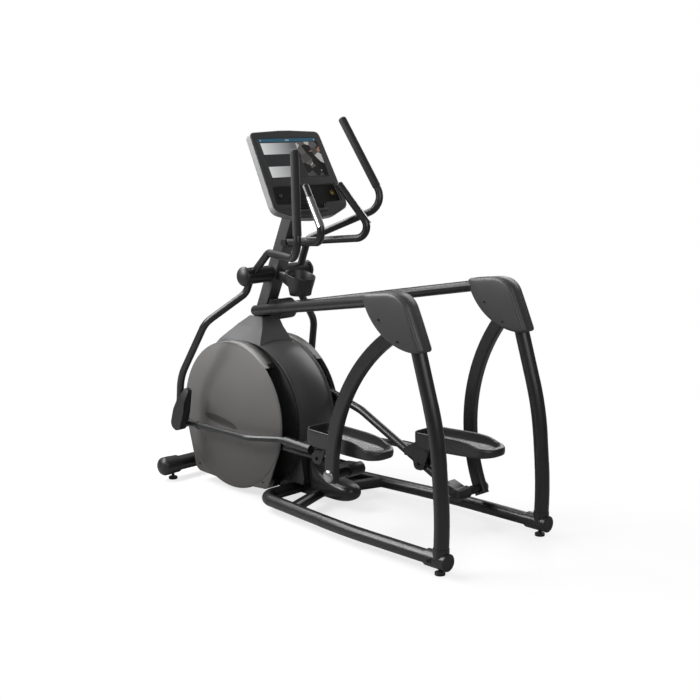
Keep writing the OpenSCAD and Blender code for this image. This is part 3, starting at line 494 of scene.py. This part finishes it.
def merged_copy(node):
    """A copy of a CAD node's mesh with its corners merged and its flat faces made whole."""
    same_point = 4e-6
    flat_within = math.radians(0.6)
    bm = bmesh.new()
    bm.from_mesh(NODES[node].data)
    bmesh.ops.remove_doubles(bm, verts=bm.verts, dist=same_point)
    bmesh.ops.dissolve_limit(bm, angle_limit=flat_within, verts=bm.verts, edges=bm.edges)
    mesh = bpy.data.meshes.new(node + "_merged")
    bm.to_mesh(mesh)
    bm.free()
    for layer in ("custom_normal", "normal"):
        if layer in mesh.attributes:
            mesh.attributes.remove(mesh.attributes[layer])
    mesh.shade_smooth()
    return mesh


def outgrown(mesh, node, slack=0.0008):
    """Tells whether a mesh reaches beyond its node's box."""
    low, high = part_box(node)
    return any(v.co[i] < low[i] - slack or v.co[i] > high[i] + slack
               for v in mesh.vertices for i in range(3))


def weigh_edges(mesh, wanted):
    """Gives a full bevel weight to the wanted edges and none to the others."""
    bm = bmesh.new()
    bm.from_mesh(mesh)
    weight = bm.edges.layers.float.new("bevel_weight_edge")
    for edge in bm.edges:
        edge[weight] = 1.0 if wanted(edge) else 0.0
    bm.to_mesh(mesh)
    bm.free()


def softened(node, width, steps=3, only=None):
    """Puts in a copy of a CAD node with its sharp edges rounded, which stands for the node."""
    sharp = math.radians(32)
    mesh = merged_copy(node)
    bevel = dict(width=width, segments=steps, limit_method="ANGLE", angle_limit=sharp,
                 use_clamp_overlap=False, miter_outer="MITER_ARC", harden_normals=False)
    if only:
        def wanted(edge):
            turns = len(edge.link_faces) == 2 and edge.calc_face_angle(0) > sharp
            return turns and only((edge.verts[0].co + edge.verts[1].co) / 2)

        weigh_edges(mesh, wanted)
        bevel["limit_method"] = "WEIGHT"
    normals = ("WEIGHTED_NORMAL", dict(keep_sharp=False))
    made = baked(node + "_finished", mesh, ("BEVEL", bevel), normals)
    if outgrown(made, node):  # a wide bevel that crosses itself throws points out, so it is held back
        bevel["use_clamp_overlap"] = True
        made = baked(node + "_finished", mesh, ("BEVEL", bevel), normals)
    made.materials.clear()
    place(node + "_finished", made, SLOT_OF[node], BODY_OF[node], (node,))


# nodes whose moulded or cut edges are rounded, with the width of the rounding in metres
ROUNDED = {
    "console_shell": 0.002, "console_face": 0.0012, "rear_clamps": 0.0012, "stabiliser_caps": 0.001,
    "rail_end_caps": 0.001, "swing_arm_left": 0.001, "swing_arm_right": 0.001, "joint_cover_left": 0.005,
    "joint_cover_right": 0.005, "neck_cover": 0.002, "rail_saddle": 0.002, "mast": 0.0015,
    "pedal_bracket_left": 0.001, "pedal_bracket_right": 0.001, "base_frame": 0.0008,
    "centre_shroud": 0.001, "front_feet": 0.0006, "rear_feet": 0.0006,
}


class TRAINER_OT_finishes(bpy.types.Operator):
    """Give every CAD piece its finish"""
    bl_idname = "trainer.finishes"
    bl_label = "Finish the pieces"

    def execute(self, context):
        FINISH.update(make_materials())
        for node, slot in SLOT_OF.items():
            materials = NODES[node].data.materials
            materials.clear()
            materials.append(FINISH[slot])
        return {"FINISHED"}


def rim_of(node):
    """Tells the outer rim of a side cover from the edges of its plate recess and screw holes."""
    band = 0.016  # the rim's depth, in from the outer face
    flange = 0.041  # the rim's width, in from the edge of the round
    foot_cut = 0.049  # the flat foot's reach above the lowest point
    low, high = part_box(node)
    outer = max(abs(low[0]), abs(high[0]))
    middle = Vector((low[1] + high[1], low[2] + high[2])) / 2
    radius = (high[1] - low[1]) / 2

    def on_rim(p):
        away = (p.yz - middle).length
        return abs(p.x) > outer - band and (away > radius - flange or p.z < low[2] + foot_cut)
    return on_rim


class TRAINER_OT_edges(bpy.types.Operator):
    """Round the edges of the moulded and cut pieces"""
    bl_idname = "trainer.edges"
    bl_label = "Round the edges"

    def execute(self, context):
        for node, width in ROUNDED.items():
            softened(node, width * sizes().rounding)
        # the shroud's crowned rim is levelled into a flat foot that clears the floor
        for vertex in bpy.data.objects["centre_shroud_finished"].data.vertices:
            vertex.co.z = max(vertex.co.z, sizes().shroud_foot)
        for node in ("disc_left", "disc_right"):
            softened(node, sizes().disc_rim, steps=5, only=rim_of(node))
        return {"FINISHED"}


def own_frame(node):
    """Tilt of a node's largest flat side about X, and its box in that tilted frame."""
    sideways = 0.02  # a face that looks further to the side than this isn't counted
    shares = {}
    for face in NODES[node].data.polygons:
        n = face.normal
        if abs(n.x) < sideways and n.z > 0:
            key = round(math.degrees(math.atan2(n.z, n.y)), 2)
            shares[key] = shares.get(key, 0) + face.area
    tilt = math.radians(max(shares, key=shares.get) - 90)
    back = Matrix.Rotation(-tilt, 3, "X")
    points = [back @ v.co for v in NODES[node].data.vertices]
    low = Vector(min(p[i] for p in points) for i in range(3))
    high = Vector(max(p[i] for p in points) for i in range(3))
    return tilt, low, high


def smooth_between(value, start, end):
    """A smooth step from 0 at the start to 1 at the end."""
    t = max(0.0, min(1.0, (value - start) / (end - start)))
    return t * t * (3 - 2 * t)


def stepped(value, stops):
    """The value carried smoothly through a row of (place, height) stops."""
    for (a, first), (b, second) in zip(stops, stops[1:]):
        if value <= b:
            return first + (second - first) * smooth_between(value, a, b)
    return stops[-1][1]


def rounded_outline(x0, x1, y0, y1, radii, inset):
    """Points round a rectangle with its own radius at each corner, drawn in by an inset; always as many."""
    per_corner, per_side = 9, 8
    least = 0.004  # the least radius that an inset leaves
    corners = ((x1, y0, -1, 1, -90), (x1, y1, -1, -1, 0), (x0, y1, 1, -1, 90), (x0, y0, 1, 1, 180))
    arcs = []
    for (cx, cy, sx, sy, start), radius in zip(corners, radii):
        r = max(radius - inset, least)
        mx, my = cx + sx * (inset + r), cy + sy * (inset + r)
        angles = [math.radians(start + 90 * i / per_corner) for i in range(per_corner + 1)]
        arcs.append([(mx + r * math.cos(a), my + r * math.sin(a)) for a in angles])
    points = []
    for k, arc in enumerate(arcs):
        points += arc
        (ax, ay), (bx, by) = arc[-1], arcs[(k + 1) % 4][0]
        points += [(ax + (bx - ax) * i / per_side, ay + (by - ay) * i / per_side)
                   for i in range(1, per_side)]
    return points


def lofted(name, rings):
    """A skin over rings of equally many points, both ends closed by a flat fan."""
    bm = bmesh.new()
    rows = [[bm.verts.new(p) for p in ring] for ring in rings]
    count = len(rows[0])
    for a, b in zip(rows, rows[1:]):
        for i in range(count):
            bm.faces.new((a[i], a[(i + 1) % count], b[(i + 1) % count], b[i]))
    for row in (rows[0], rows[-1]):
        middle = bm.verts.new(sum((v.co for v in row), Vector()) / count)
        for i in range(count):
            bm.faces.new((row[i], row[(i + 1) % count], middle))
    bmesh.ops.recalc_face_normals(bm, faces=bm.faces)
    mesh = bpy.data.meshes.new(name)
    bm.to_mesh(mesh)
    bm.free()
    mesh.shade_smooth()
    return mesh


SUBDIVIDED = ("SUBSURF", dict(levels=1, render_levels=1))


def pedal_mesh(side):
    """The footplate: a scoop with a high toe wall, sides that fall at the back and a broad heel lip."""
    toe_lip, heel_lip = 0.014, 0.030  # how far the scoop reaches past the CAD plate
    radii = (0.062, 0.036, 0.036, 0.062)  # corners: heel, toe, toe, heel
    heel_blend = (0.085, 0.012)  # from the heel: where the lip begins, and where it is at its full width
    tilt, low, high = own_frame("pedal_" + side)
    turn = Matrix.Rotation(tilt, 3, "X")
    toe, heel = high.y + toe_lip, low.y - heel_lip
    plate, floor = low.z + 0.0005, low.z + 0.0085
    rim_stops = ((0, 0.054), (0.25, 0.058), (0.30, 0.054), (0.36, 0.036), (0.42, 0.032))
    skirt_stops = ((0, -0.0008), (0.045, -0.020), (0.25, -0.013), (0.36, -0.007), (0.42, -0.004))
    # each row: inset at the sides, inset at the heel, share of the way up to the rim, and where from
    rows = ((0.0180, 0.0300, 0.0, "plate"), (0.0090, 0.0200, 0.0, "plate"), (0.0065, 0.0130, 0.06, "wall"),
            (0.0040, 0.0080, 0.0, "wall"), (0.0012, 0.0030, 0.05, "wall"), (0.0004, 0.0004, 0.35, "wall"),
            (0.0000, 0.0004, 0.80, "wall"), (0.0006, 0.0060, 0.955, "wall"), (0.0032, 0.0170, 1.0, "wall"),
            (0.0062, 0.0300, 0.97, "bowl"), (0.0075, 0.0390, 0.60, "bowl"), (0.0090, 0.0440, 0.14, "bowl"),
            (0.0140, 0.0490, 0.0, "bowl"), (0.0220, 0.0560, 0.0, "bowl"))

    def outline(inset):
        return rounded_outline(low.x, high.x, heel, toe, radii, inset)

    rings = []
    for side_in, heel_in, share, kind in rows:
        ring = []
        for i, (_, y) in enumerate(outline(0.0)):
            inset = side_in + (heel_in - side_in) * smooth_between(y - heel, *heel_blend)
            rim = low.z + stepped(toe - y, rim_stops)
            skirt = low.z + stepped(toe - y, skirt_stops)
            start = {"wall": skirt, "bowl": floor, "plate": plate}[kind]
            ring.append(turn @ Vector((*outline(inset)[i], start + (rim - start) * share)))
        rings.append(ring)
    return baked("scoop_" + side, lofted("scoop_" + side, rings), SUBDIVIDED)


def grown(name, build, *inputs):
    """A mesh grown by a node tree: inputs are (label, kind, value); build joins the tree's nodes."""
    tree = bpy.data.node_groups.new(name, "GeometryNodeTree")
    tree.interface.new_socket("Geometry", in_out="INPUT", socket_type="NodeSocketGeometry")
    named = {label: tree.interface.new_socket(label, in_out="INPUT", socket_type="NodeSocket" + kind)
             for label, kind, value in inputs}
    tree.interface.new_socket("Geometry", in_out="OUTPUT", socket_type="NodeSocketGeometry")
    start, end = tree.nodes.new("NodeGroupInput"), tree.nodes.new("NodeGroupOutput")

    def node(kind, settings=None, **sockets):
        """A node: settings are its own, sockets its inputs by name, or by number as i0, i1."""
        made = tree.nodes.new(kind)
        for key, value in (settings or {}).items():
            setattr(made, key, value)
        for key, value in sockets.items():
            socket = made.inputs[int(key[1:])] if key[1:].isdigit() else made.inputs[key.replace("_", " ")]
            if isinstance(value, bpy.types.NodeSocket):
                tree.links.new(value, socket)
            else:
                socket.default_value = value
        return made

    parts, material = build(node, start.outputs)
    realised = node("GeometryNodeRealizeInstances", Geometry=parts)
    finished = node("GeometryNodeSetMaterial", Geometry=realised.outputs[0], Material=material)
    tree.links.new(finished.outputs[0], end.inputs[0])
    values = {named[label].identifier: value for label, kind, value in inputs}
    return baked(name, bpy.data.meshes.new(name), ("NODES", dict(node_group=tree, **values)))


def row_of_points(node, given):
    """Points in a row across, centred on the origin."""
    fewer = node("ShaderNodeMath", dict(operation="SUBTRACT"), i0=given["Count"], i1=1.0)
    reach = node("ShaderNodeMath", dict(operation="MULTIPLY"), i0=fewer.outputs[0], i1=given["Spacing"])
    half = node("ShaderNodeMath", dict(operation="MULTIPLY"), i0=reach.outputs[0], i1=-0.5)
    first = node("ShaderNodeCombineXYZ", X=half.outputs[0])
    step = node("ShaderNodeCombineXYZ", X=given["Spacing"])
    return node("GeometryNodeMeshLine", Count=given["Count"], Start_Location=first.outputs[0],
                Offset=step.outputs[0])


def repeated(node, given, part):
    """The part once at each point of a row."""
    row = row_of_points(node, given)
    copies = node("GeometryNodeInstanceOnPoints", Points=row.outputs[0], Instance=part.outputs[0])
    return copies.outputs[0]


def rib_tree(node, given):
    """Half-round ribs side by side, whose light grey is a painted highlight."""
    flattened = (1, 1, 0.85)
    radius = node("ShaderNodeMath", dict(operation="MULTIPLY"), i0=given["Width"], i1=0.5)
    bar = node("GeometryNodeMeshCylinder", Vertices=14, Radius=radius.outputs[0], Depth=given["Length"])
    lying = node("GeometryNodeTransform", Geometry=bar.outputs[0], Rotation=(math.pi / 2, 0, 0))
    rib = node("GeometryNodeTransform", Geometry=lying.outputs[0], Scale=flattened)
    return repeated(node, given, rib), FINISH["rib_highlight_grey"]


def mark_tree(node, given):
    """Thin rounded frames printed on the keys."""
    corner, line = 0.0016, 0.00035
    square = node("GeometryNodeCurvePrimitiveQuadrilateral", Width=given["Width"], Height=given["Width"])
    outline = node("GeometryNodeFilletCurve", dict(mode="POLY"), Curve=square.outputs[0], Count=4,
                   Radius=corner)
    wire = node("GeometryNodeCurvePrimitiveCircle", dict(mode="RADIUS"), Resolution=6, Radius=line)
    mark = node("GeometryNodeCurveToMesh", Curve=outline.outputs[0], Profile_Curve=wire.outputs[0])
    return repeated(node, given, mark), FINISH["mark_white"]


class TRAINER_OT_pedals(bpy.types.Operator):
    """Make the scooped footplates and their tread ribs"""
    bl_idname = "trainer.pedals"
    bl_label = "Make the footplates"

    def execute(self, context):
        chosen = sizes()
        set_back, raised = 0.012, 0.0125  # the ribs' middle from the plate's middle and underside
        for side in SIDES:
            foot = "foot_" + side
            place("scoop_" + side, pedal_mesh(side), "pedal_black", foot, ("pedal_" + side,))
            tilt, low, high = own_frame("pedal_" + side)
            ribs = grown("tread_ribs_" + side, rib_tree, ("Count", "Int", chosen.rib_count),
                         ("Spacing", "Float", chosen.rib_spacing), ("Width", "Float", chosen.rib_width),
                         ("Length", "Float", chosen.rib_length))
            middle = Vector(((low.x + high.x) / 2, (low.y + high.y) / 2 - set_back, low.z + raised))
            ribs.transform(Matrix.Rotation(tilt, 4, "X") @ Matrix.Translation(middle))
            place("tread_ribs_" + side, ribs, "tread_grey", foot, ("tread_" + side,))
        return {"FINISHED"}


def squircle(middle, half, power, across, steps=56):
    """Points of a rounded square; across turns a flat point into a place."""
    points = []
    for i in range(steps):
        c, s = math.cos(2 * math.pi * i / steps), math.sin(2 * math.pi * i / steps)
        u = middle[0] + half[0] * math.copysign(abs(c) ** (2 / power), c)
        v = middle[1] + half[1] * math.copysign(abs(s) ** (2 / power), s)
        points.append(Vector(across(u, v)))
    return points


def join(name, *meshes):
    """One mesh of several."""
    bm = bmesh.new()
    for mesh in meshes:
        bm.from_mesh(mesh)
    made = bpy.data.meshes.new(name)
    bm.to_mesh(made)
    bm.free()
    made.shade_smooth()
    return made


def cup_mesh():
    """The bottle cup: a tapered rounded bowl with a rolled lip, and its bracket to the mast."""
    # the bowl's rings: height above the cup's foot, and half width
    bowl_rows = ((0.0000, 0.036), (0.0004, 0.043), (0.0030, 0.0470), (0.0320, 0.0515), (0.0670, 0.0570),
                 (0.1010, 0.0628), (0.1080, 0.0645), (0.1115, 0.0645), (0.1120, 0.0632), (0.1112, 0.0615),
                 (0.1060, 0.0605), (0.0670, 0.0530), (0.0170, 0.0452), (0.0095, 0.0425), (0.0090, 0.034))
    # the bracket's rings: distance in front of the cup's middle, height, half width and half height
    arm_rows = ((0.052, 0.062, 0.012, 0.030), (0.064, 0.064, 0.020, 0.034), (0.104, 0.076, 0.021, 0.026),
                (0.150, 0.084, 0.021, 0.022), (0.160, 0.084, 0.018, 0.018))
    oval = (1.03, 1.02)  # how much wider and deeper than round the bowl is
    slant_heights = (0.007, 0.102)  # the slant grows between these
    reach = 0.065  # the lip's half depth
    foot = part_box("cup_holder")[0][2]
    opening = next(row for row in frame["record"]["physics"]["openings"] if row["name"] == "cup")
    middle = (opening["box_m"][0][1] + opening["box_m"][1][1]) / 2

    def ring(height, r):
        drop = sizes().cup_slant * smooth_between(height, *slant_heights)
        return squircle((0, middle), (r * oval[0], r * oval[1]), 2 + 2 * height,
                        lambda u, v: (u, v, foot + height - drop * (middle + reach - v) / (2 * reach)))

    def arm_ring(forward, height, wide, tall):
        return squircle((0, foot + height), (wide, tall), 4, lambda u, v: (u, middle + forward, v), steps=32)

    bowl = lofted("bowl", [ring(*row) for row in bowl_rows])
    return join("cup", bowl, lofted("cup_arm", [arm_ring(*row) for row in arm_rows]))


def boot_mesh():
    """The boot behind the shroud: a narrow back that swells into a rounded toe over the floor frame."""
    # each ring: distance behind the boot's front, its lowest and highest point, half width and squareness
    rows = ((0.002, 0.070, 0.2575, 0.0490, 3.2), (0.012, 0.045, 0.2570, 0.0520, 3.0),
            (0.024, 0.038, 0.2480, 0.0550, 2.8), (0.044, 0.037, 0.2150, 0.0575, 2.7),
            (0.068, 0.037, 0.1830, 0.0578, 2.7), (0.103, 0.037, 0.1560, 0.0576, 2.7),
            (0.143, 0.037, 0.1385, 0.0572, 2.7), (0.188, 0.038, 0.1290, 0.0565, 2.6),
            (0.226, 0.044, 0.1235, 0.0530, 2.5), (0.248, 0.052, 0.1170, 0.0450, 2.4),
            (0.260, 0.062, 0.1080, 0.0330, 2.3), (0.266, 0.074, 0.0970, 0.0160, 2.2))
    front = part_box("tail_cover")[1][1]

    def ring(behind, low, high, half, power):
        return squircle((0, (low + high) / 2), (half, (high - low) / 2), power,
                        lambda u, v: (u, front - behind, v))

    return baked("boot", lofted("boot", [ring(*row) for row in rows]), SUBDIVIDED)


def end_cap_mesh():
    """The two round caps at the ends of the swing tube."""
    # the cap's skirt: distance in from its tip, and radius; then a dome
    skirt = ((0.0314, 0.0245), (0.0312, 0.038), (0.0300, 0.0415), (0.0270, 0.0436), (0.0240, 0.0440))
    dome, radius = 0.0235, 0.0440
    low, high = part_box("pivot_caps")
    tip, centre = high[0], ((low[1] + high[1]) / 2, (low[2] + high[2]) / 2)
    angles = [math.radians(a) for a in (8, 18, 30, 42, 54, 66, 77, 85)]
    profile = [(tip - inwards, r) for inwards, r in skirt]
    profile += [(tip - dome + dome * math.sin(a), radius * math.cos(a)) for a in angles]

    def ring(x, r):
        return squircle(centre, (r, r), 2, lambda u, v: (x, u, v))

    caps = [lofted("cap", [ring(sign * x, r) for x, r in profile]) for sign in SIDES.values()]
    return join("swing_tube_caps", *caps)


def filleted(points, radii, steps=9):
    """The corners of an open line, each rounded to its own radius."""
    made = []
    for i, (corner, radius) in enumerate(zip(points, radii)):
        p = Vector(corner)
        if not radius:
            made.append(p)
            continue
        before = (Vector(points[i - 1]) - p).normalized()
        after = (Vector(points[(i + 1) % len(points)]) - p).normalized()
        half = before.angle(after) / 2
        reach = radius / math.tan(half)
        middle = p + (before + after).normalized() * (radius / math.sin(half))
        first, last = p + before * reach - middle, p + after * reach - middle
        for k in range(steps + 1):
            made.append(middle + first.lerp(last, k / steps).normalized() * radius)
    return made


def knuckle_outline():
    """Side outline of a rear knuckle cover, as (y, z): straight top, rounded back, and an arc below."""
    low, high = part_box("cover_outer")
    front, back, top = high[1], low[1], high[2]
    corners = ((front, top - 0.0165), (front - 0.134, top + 0.001), (front - 0.210, top - 0.004),
               (front - 0.258, top - 0.107), (back, low[2] + 0.001), (front - 0.02, top - 0.12))
    line = filleted(corners, (0.012, 0.12, 0.084, 0.14, 0.010, 0))[:-1]
    middle, radius = Vector((back + 0.039, top + 0.0776)), 0.299  # of the arc below
    fullness = 0.3  # how soon the line swells towards that arc
    start, end = math.atan2(*(line[-1] - middle).yx), math.atan2(*(line[0] - middle).yx)
    first, last = (line[-1] - middle).length, (line[0] - middle).length
    steps = 30
    for k in range(1, steps):
        t = k / steps
        angle = start + (end - start) * t
        reach = first + (last - first) * t
        swell = (radius - reach) * math.sin(math.pi * t) ** fullness / 2
        line.append(middle + Vector((math.cos(angle), math.sin(angle))) * (reach + swell))
    return line


def knuckle_mesh():
    """The covers over the rear knuckles: crowned faces, rounded rims and a groove round each rim."""
    # half of the cover's section: distance out from its middle plane, and inset from its outline
    profile = ((0.0, 0.0), (0.0298, 0.0), (0.0301, 0.0008), (0.0311, 0.0009), (0.0314, 0.0002),
               (0.0345, 0.0009), (0.0376, 0.0030), (0.0398, 0.0060), (0.0409, 0.0100), (0.0416, 0.0180),
               (0.0424, 0.0320), (0.0430, 0.0560))
    usual_reach = 0.095  # from the outline's centre to the outline
    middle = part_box("cover_outer")[1][0] - profile[-1][0]
    line = knuckle_outline()
    centre = sum(line, Vector((0, 0))) / len(line)
    covers = []
    for sign in SIDES.values():
        rings = []
        for out, inset in [(-out, inset) for out, inset in reversed(profile[1:])] + list(profile):
            shrunk = [p.lerp(centre, inset / usual_reach) for p in line]
            rings.append([Vector((sign * (middle + out), *p)) for p in shrunk])
        covers.append(lofted("cover", rings))
    return join("knuckle_covers", *covers)


class TRAINER_OT_mouldings(bpy.types.Operator):
    """Make the rounded mouldings: knuckle covers, boot, cup and swing tube caps"""
    bl_idname = "trainer.mouldings"
    bl_label = "Make the mouldings"

    def execute(self, context):
        covers = ("cover_outer", "cover_inner", "cover_band")
        place("knuckle_covers", knuckle_mesh(), "cover_grey", "base", covers)
        place("tail_boot", boot_mesh(), "tail_grey", "base", ("tail_cover",))
        place("bottle_cup", cup_mesh(), "cup_black", "base", ("cup_holder",))
        place("swing_tube_caps", end_cap_mesh(), "cap_black", "base", ("pivot_caps",))
        return {"FINISHED"}


class TRAINER_OT_key_marks(bpy.types.Operator):
    """Print the small frames on the keypad"""
    bl_idname = "trainer.key_marks"
    bl_label = "Print the key marks"

    def execute(self, context):
        chosen = sizes()
        marks_at, proud = 0.033, 0.0001  # the keypad's marks from the middle plane, and above the film
        tilt, low, high = own_frame("start_button")
        y = (low.y + high.y) / 2
        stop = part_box("stop_key")
        stop_x = (stop[0][0] + stop[1][0]) / 2
        film = own_frame("keypad")[2].z
        for name, body, x, z, count in (("key_marks", "base", marks_at, film, 2),
                                        ("stop_mark", "stop_key_body", stop_x, high.z, 1)):
            marks = grown(name, mark_tree, ("Count", "Int", count), ("Spacing", "Float", chosen.mark_spacing),
                          ("Width", "Float", chosen.mark_size))
            marks.transform(Matrix.Rotation(tilt, 4, "X") @ Matrix.Translation((x, y, z + proud)))
            place(name, marks, SLOT_OF["keypad"], body)
        return {"FINISHED"}


def set_camera(scene, chosen):
    """The camera, aimed by heading and downward tilt."""
    camera = bpy.data.objects.new("camera", bpy.data.cameras.new("camera"))
    camera.data.lens = chosen.lens
    camera.data.sensor_width = 36  # the lens is given for this width, in millimetres
    camera.data.clip_end = 200
    camera.location = chosen.eye
    camera.rotation_euler = (math.pi / 2 - chosen.pitch, 0, -chosen.yaw)
    scene.collection.objects.link(camera)
    scene.camera = camera


def set_sky(scene, chosen):
    """A plain white world: full strength where it is seen, and weak where it lights the trainer."""
    world = bpy.data.worlds.new("plain_sky")
    scene.world = world
    world.use_nodes = True
    nodes, links = world.node_tree.nodes, world.node_tree.links
    background = nodes["Background"]
    background.inputs["Color"].default_value = (1, 1, 1, 1)
    path = nodes.new("ShaderNodeLightPath")
    seen = nodes.new("ShaderNodeMath")
    seen.operation = "MAXIMUM"
    links.new(path.outputs["Is Camera Ray"], seen.inputs[0])
    links.new(path.outputs["Is Transmission Ray"], seen.inputs[1])
    strength = nodes.new("ShaderNodeMapRange")
    strength.inputs["To Min"].default_value = chosen.sky
    strength.inputs["To Max"].default_value = 1.0
    links.new(seen.outputs[0], strength.inputs["Value"])
    links.new(strength.outputs[0], background.inputs["Strength"])


def pale_floor():
    """A floor that is white to the camera, glows away from the trainer, and gives back less light."""
    white, bounced = (1, 1, 1), (0.34, 0.34, 0.34)
    glow_from, glow_to = 0.5, 1.7  # distance from the middle over which the glow grows
    glow_near, glow_far = 0.72, 1.0
    stretched = (1, 0.7, 1)  # the glow begins further off in front of and behind the trainer
    recipe = Recipe("pale_floor")
    seen = recipe.node("LightPath").outputs["Is Camera Ray"]
    recipe.base(recipe.mix(seen, bounced, white))
    recipe.set(Roughness=0.6)
    glow = recipe.node("Emission")
    glow.inputs["Strength"].default_value = 1.0
    distance = recipe.node("VectorMath", operation="LENGTH")
    recipe.link(recipe.mapped(Scale=stretched), distance.inputs[0])
    share = recipe.span(distance.outputs["Value"], glow_from, glow_to, glow_near, glow_far)
    blend = recipe.node("MixShader")
    recipe.link(recipe.maths("MULTIPLY", share, seen), blend.inputs[0])
    recipe.link(recipe.shader.outputs[0], blend.inputs[1])
    recipe.link(glow.outputs[0], blend.inputs[2])
    recipe.link(blend.outputs[0], recipe.tree.nodes["Material Output"].inputs["Surface"])
    return recipe.material


def set_floor(scene, chosen):
    """The floor the trainer stands on."""
    reach = chosen.floor_reach
    mesh = bpy.data.meshes.new("floor")
    mesh.from_pydata([(-reach, -reach, 0), (reach, -reach, 0), (reach, reach, 0), (-reach, reach, 0)],
                     [], [(0, 1, 2, 3)])
    mesh.materials.append(pale_floor())
    floor = bpy.data.objects.new("floor", mesh)
    scene.collection.objects.link(floor)


def lamp(scene, name, power, stand, face, aim=(0, 0, 0.7)):
    """A soft lamp with a rectangular face, turned to its aim."""
    data = bpy.data.lights.new(name, "AREA")
    data.shape = "RECTANGLE"
    data.size, data.size_y = face
    data.energy = power
    made = bpy.data.objects.new(name, data)
    made.location = stand
    made.rotation_euler = (Vector(aim) - Vector(stand)).to_track_quat("-Z", "Y").to_euler()
    scene.collection.objects.link(made)


class TRAINER_OT_stage(bpy.types.Operator):
    """Set the floor, the lights and the camera"""
    bl_idname = "trainer.stage"
    bl_label = "Set the stage"

    def execute(self, context):
        chosen = stage_settings()
        scene = context.scene
        scene.view_settings.view_transform = "Standard"
        set_camera(scene, chosen)
        set_sky(scene, chosen)
        set_floor(scene, chosen)
        lamp(scene, "key_light", chosen.key_power, stand=(-2.4, 1.5, 2.5), face=(1.5, 1.5), aim=(0, 0.1, 0.7))
        lamp(scene, "top_light", chosen.top_power, stand=(-0.5, 2.3, 3.5), face=(3, 1.8), aim=(0, -0.1, 0.7))
        lamp(scene, "side_light", chosen.side_power, stand=(3.3, 0.6, 2.3), face=(2.4, 2.4))
        lamp(scene, "fill_light", chosen.fill_power, stand=(-1.2, -3.4, 2.4), face=(2.4, 2))
        return {"FINISHED"}


class TRAINER_PT_panel(bpy.types.Panel):
    """Sizes, finishes and steps of the trainer"""
    bl_idname = "TRAINER_PT_panel"
    bl_label = "Elliptical trainer"
    bl_space_type = "VIEW_3D"
    bl_region_type = "UI"
    bl_category = "Trainer"

    def draw(self, context):
        for group in (sizes(), finishes(), stage_settings()):
            for key in group.bl_rna.properties.keys():
                if key not in ("rna_type", "name"):
                    self.layout.prop(group, key)
        for step in STEPS:
            self.layout.operator(step.bl_idname)


STEPS = (TRAINER_OT_finishes, TRAINER_OT_edges, TRAINER_OT_pedals, TRAINER_OT_mouldings,
         TRAINER_OT_key_marks, TRAINER_OT_stage)
GROUPS = {"trainer_finishes": TrainerFinishes, "trainer_sizes": TrainerSizes, "trainer_stage": TrainerStage}
CLASSES = (*GROUPS.values(), *STEPS, TRAINER_PT_panel)


def register():
    for made in CLASSES:
        bpy.utils.register_class(made)
    for name, group in GROUPS.items():
        setattr(bpy.types.Scene, name, PointerProperty(type=group))


def unregister():
    for name in GROUPS:
        delattr(bpy.types.Scene, name)
    for made in reversed(CLASSES):
        bpy.utils.unregister_class(made)


def main():
    register()
    for step in STEPS:
        group, name = step.bl_idname.split(".")
        getattr(getattr(bpy.ops, group), name)()


if __name__ == "__main__":
    main()
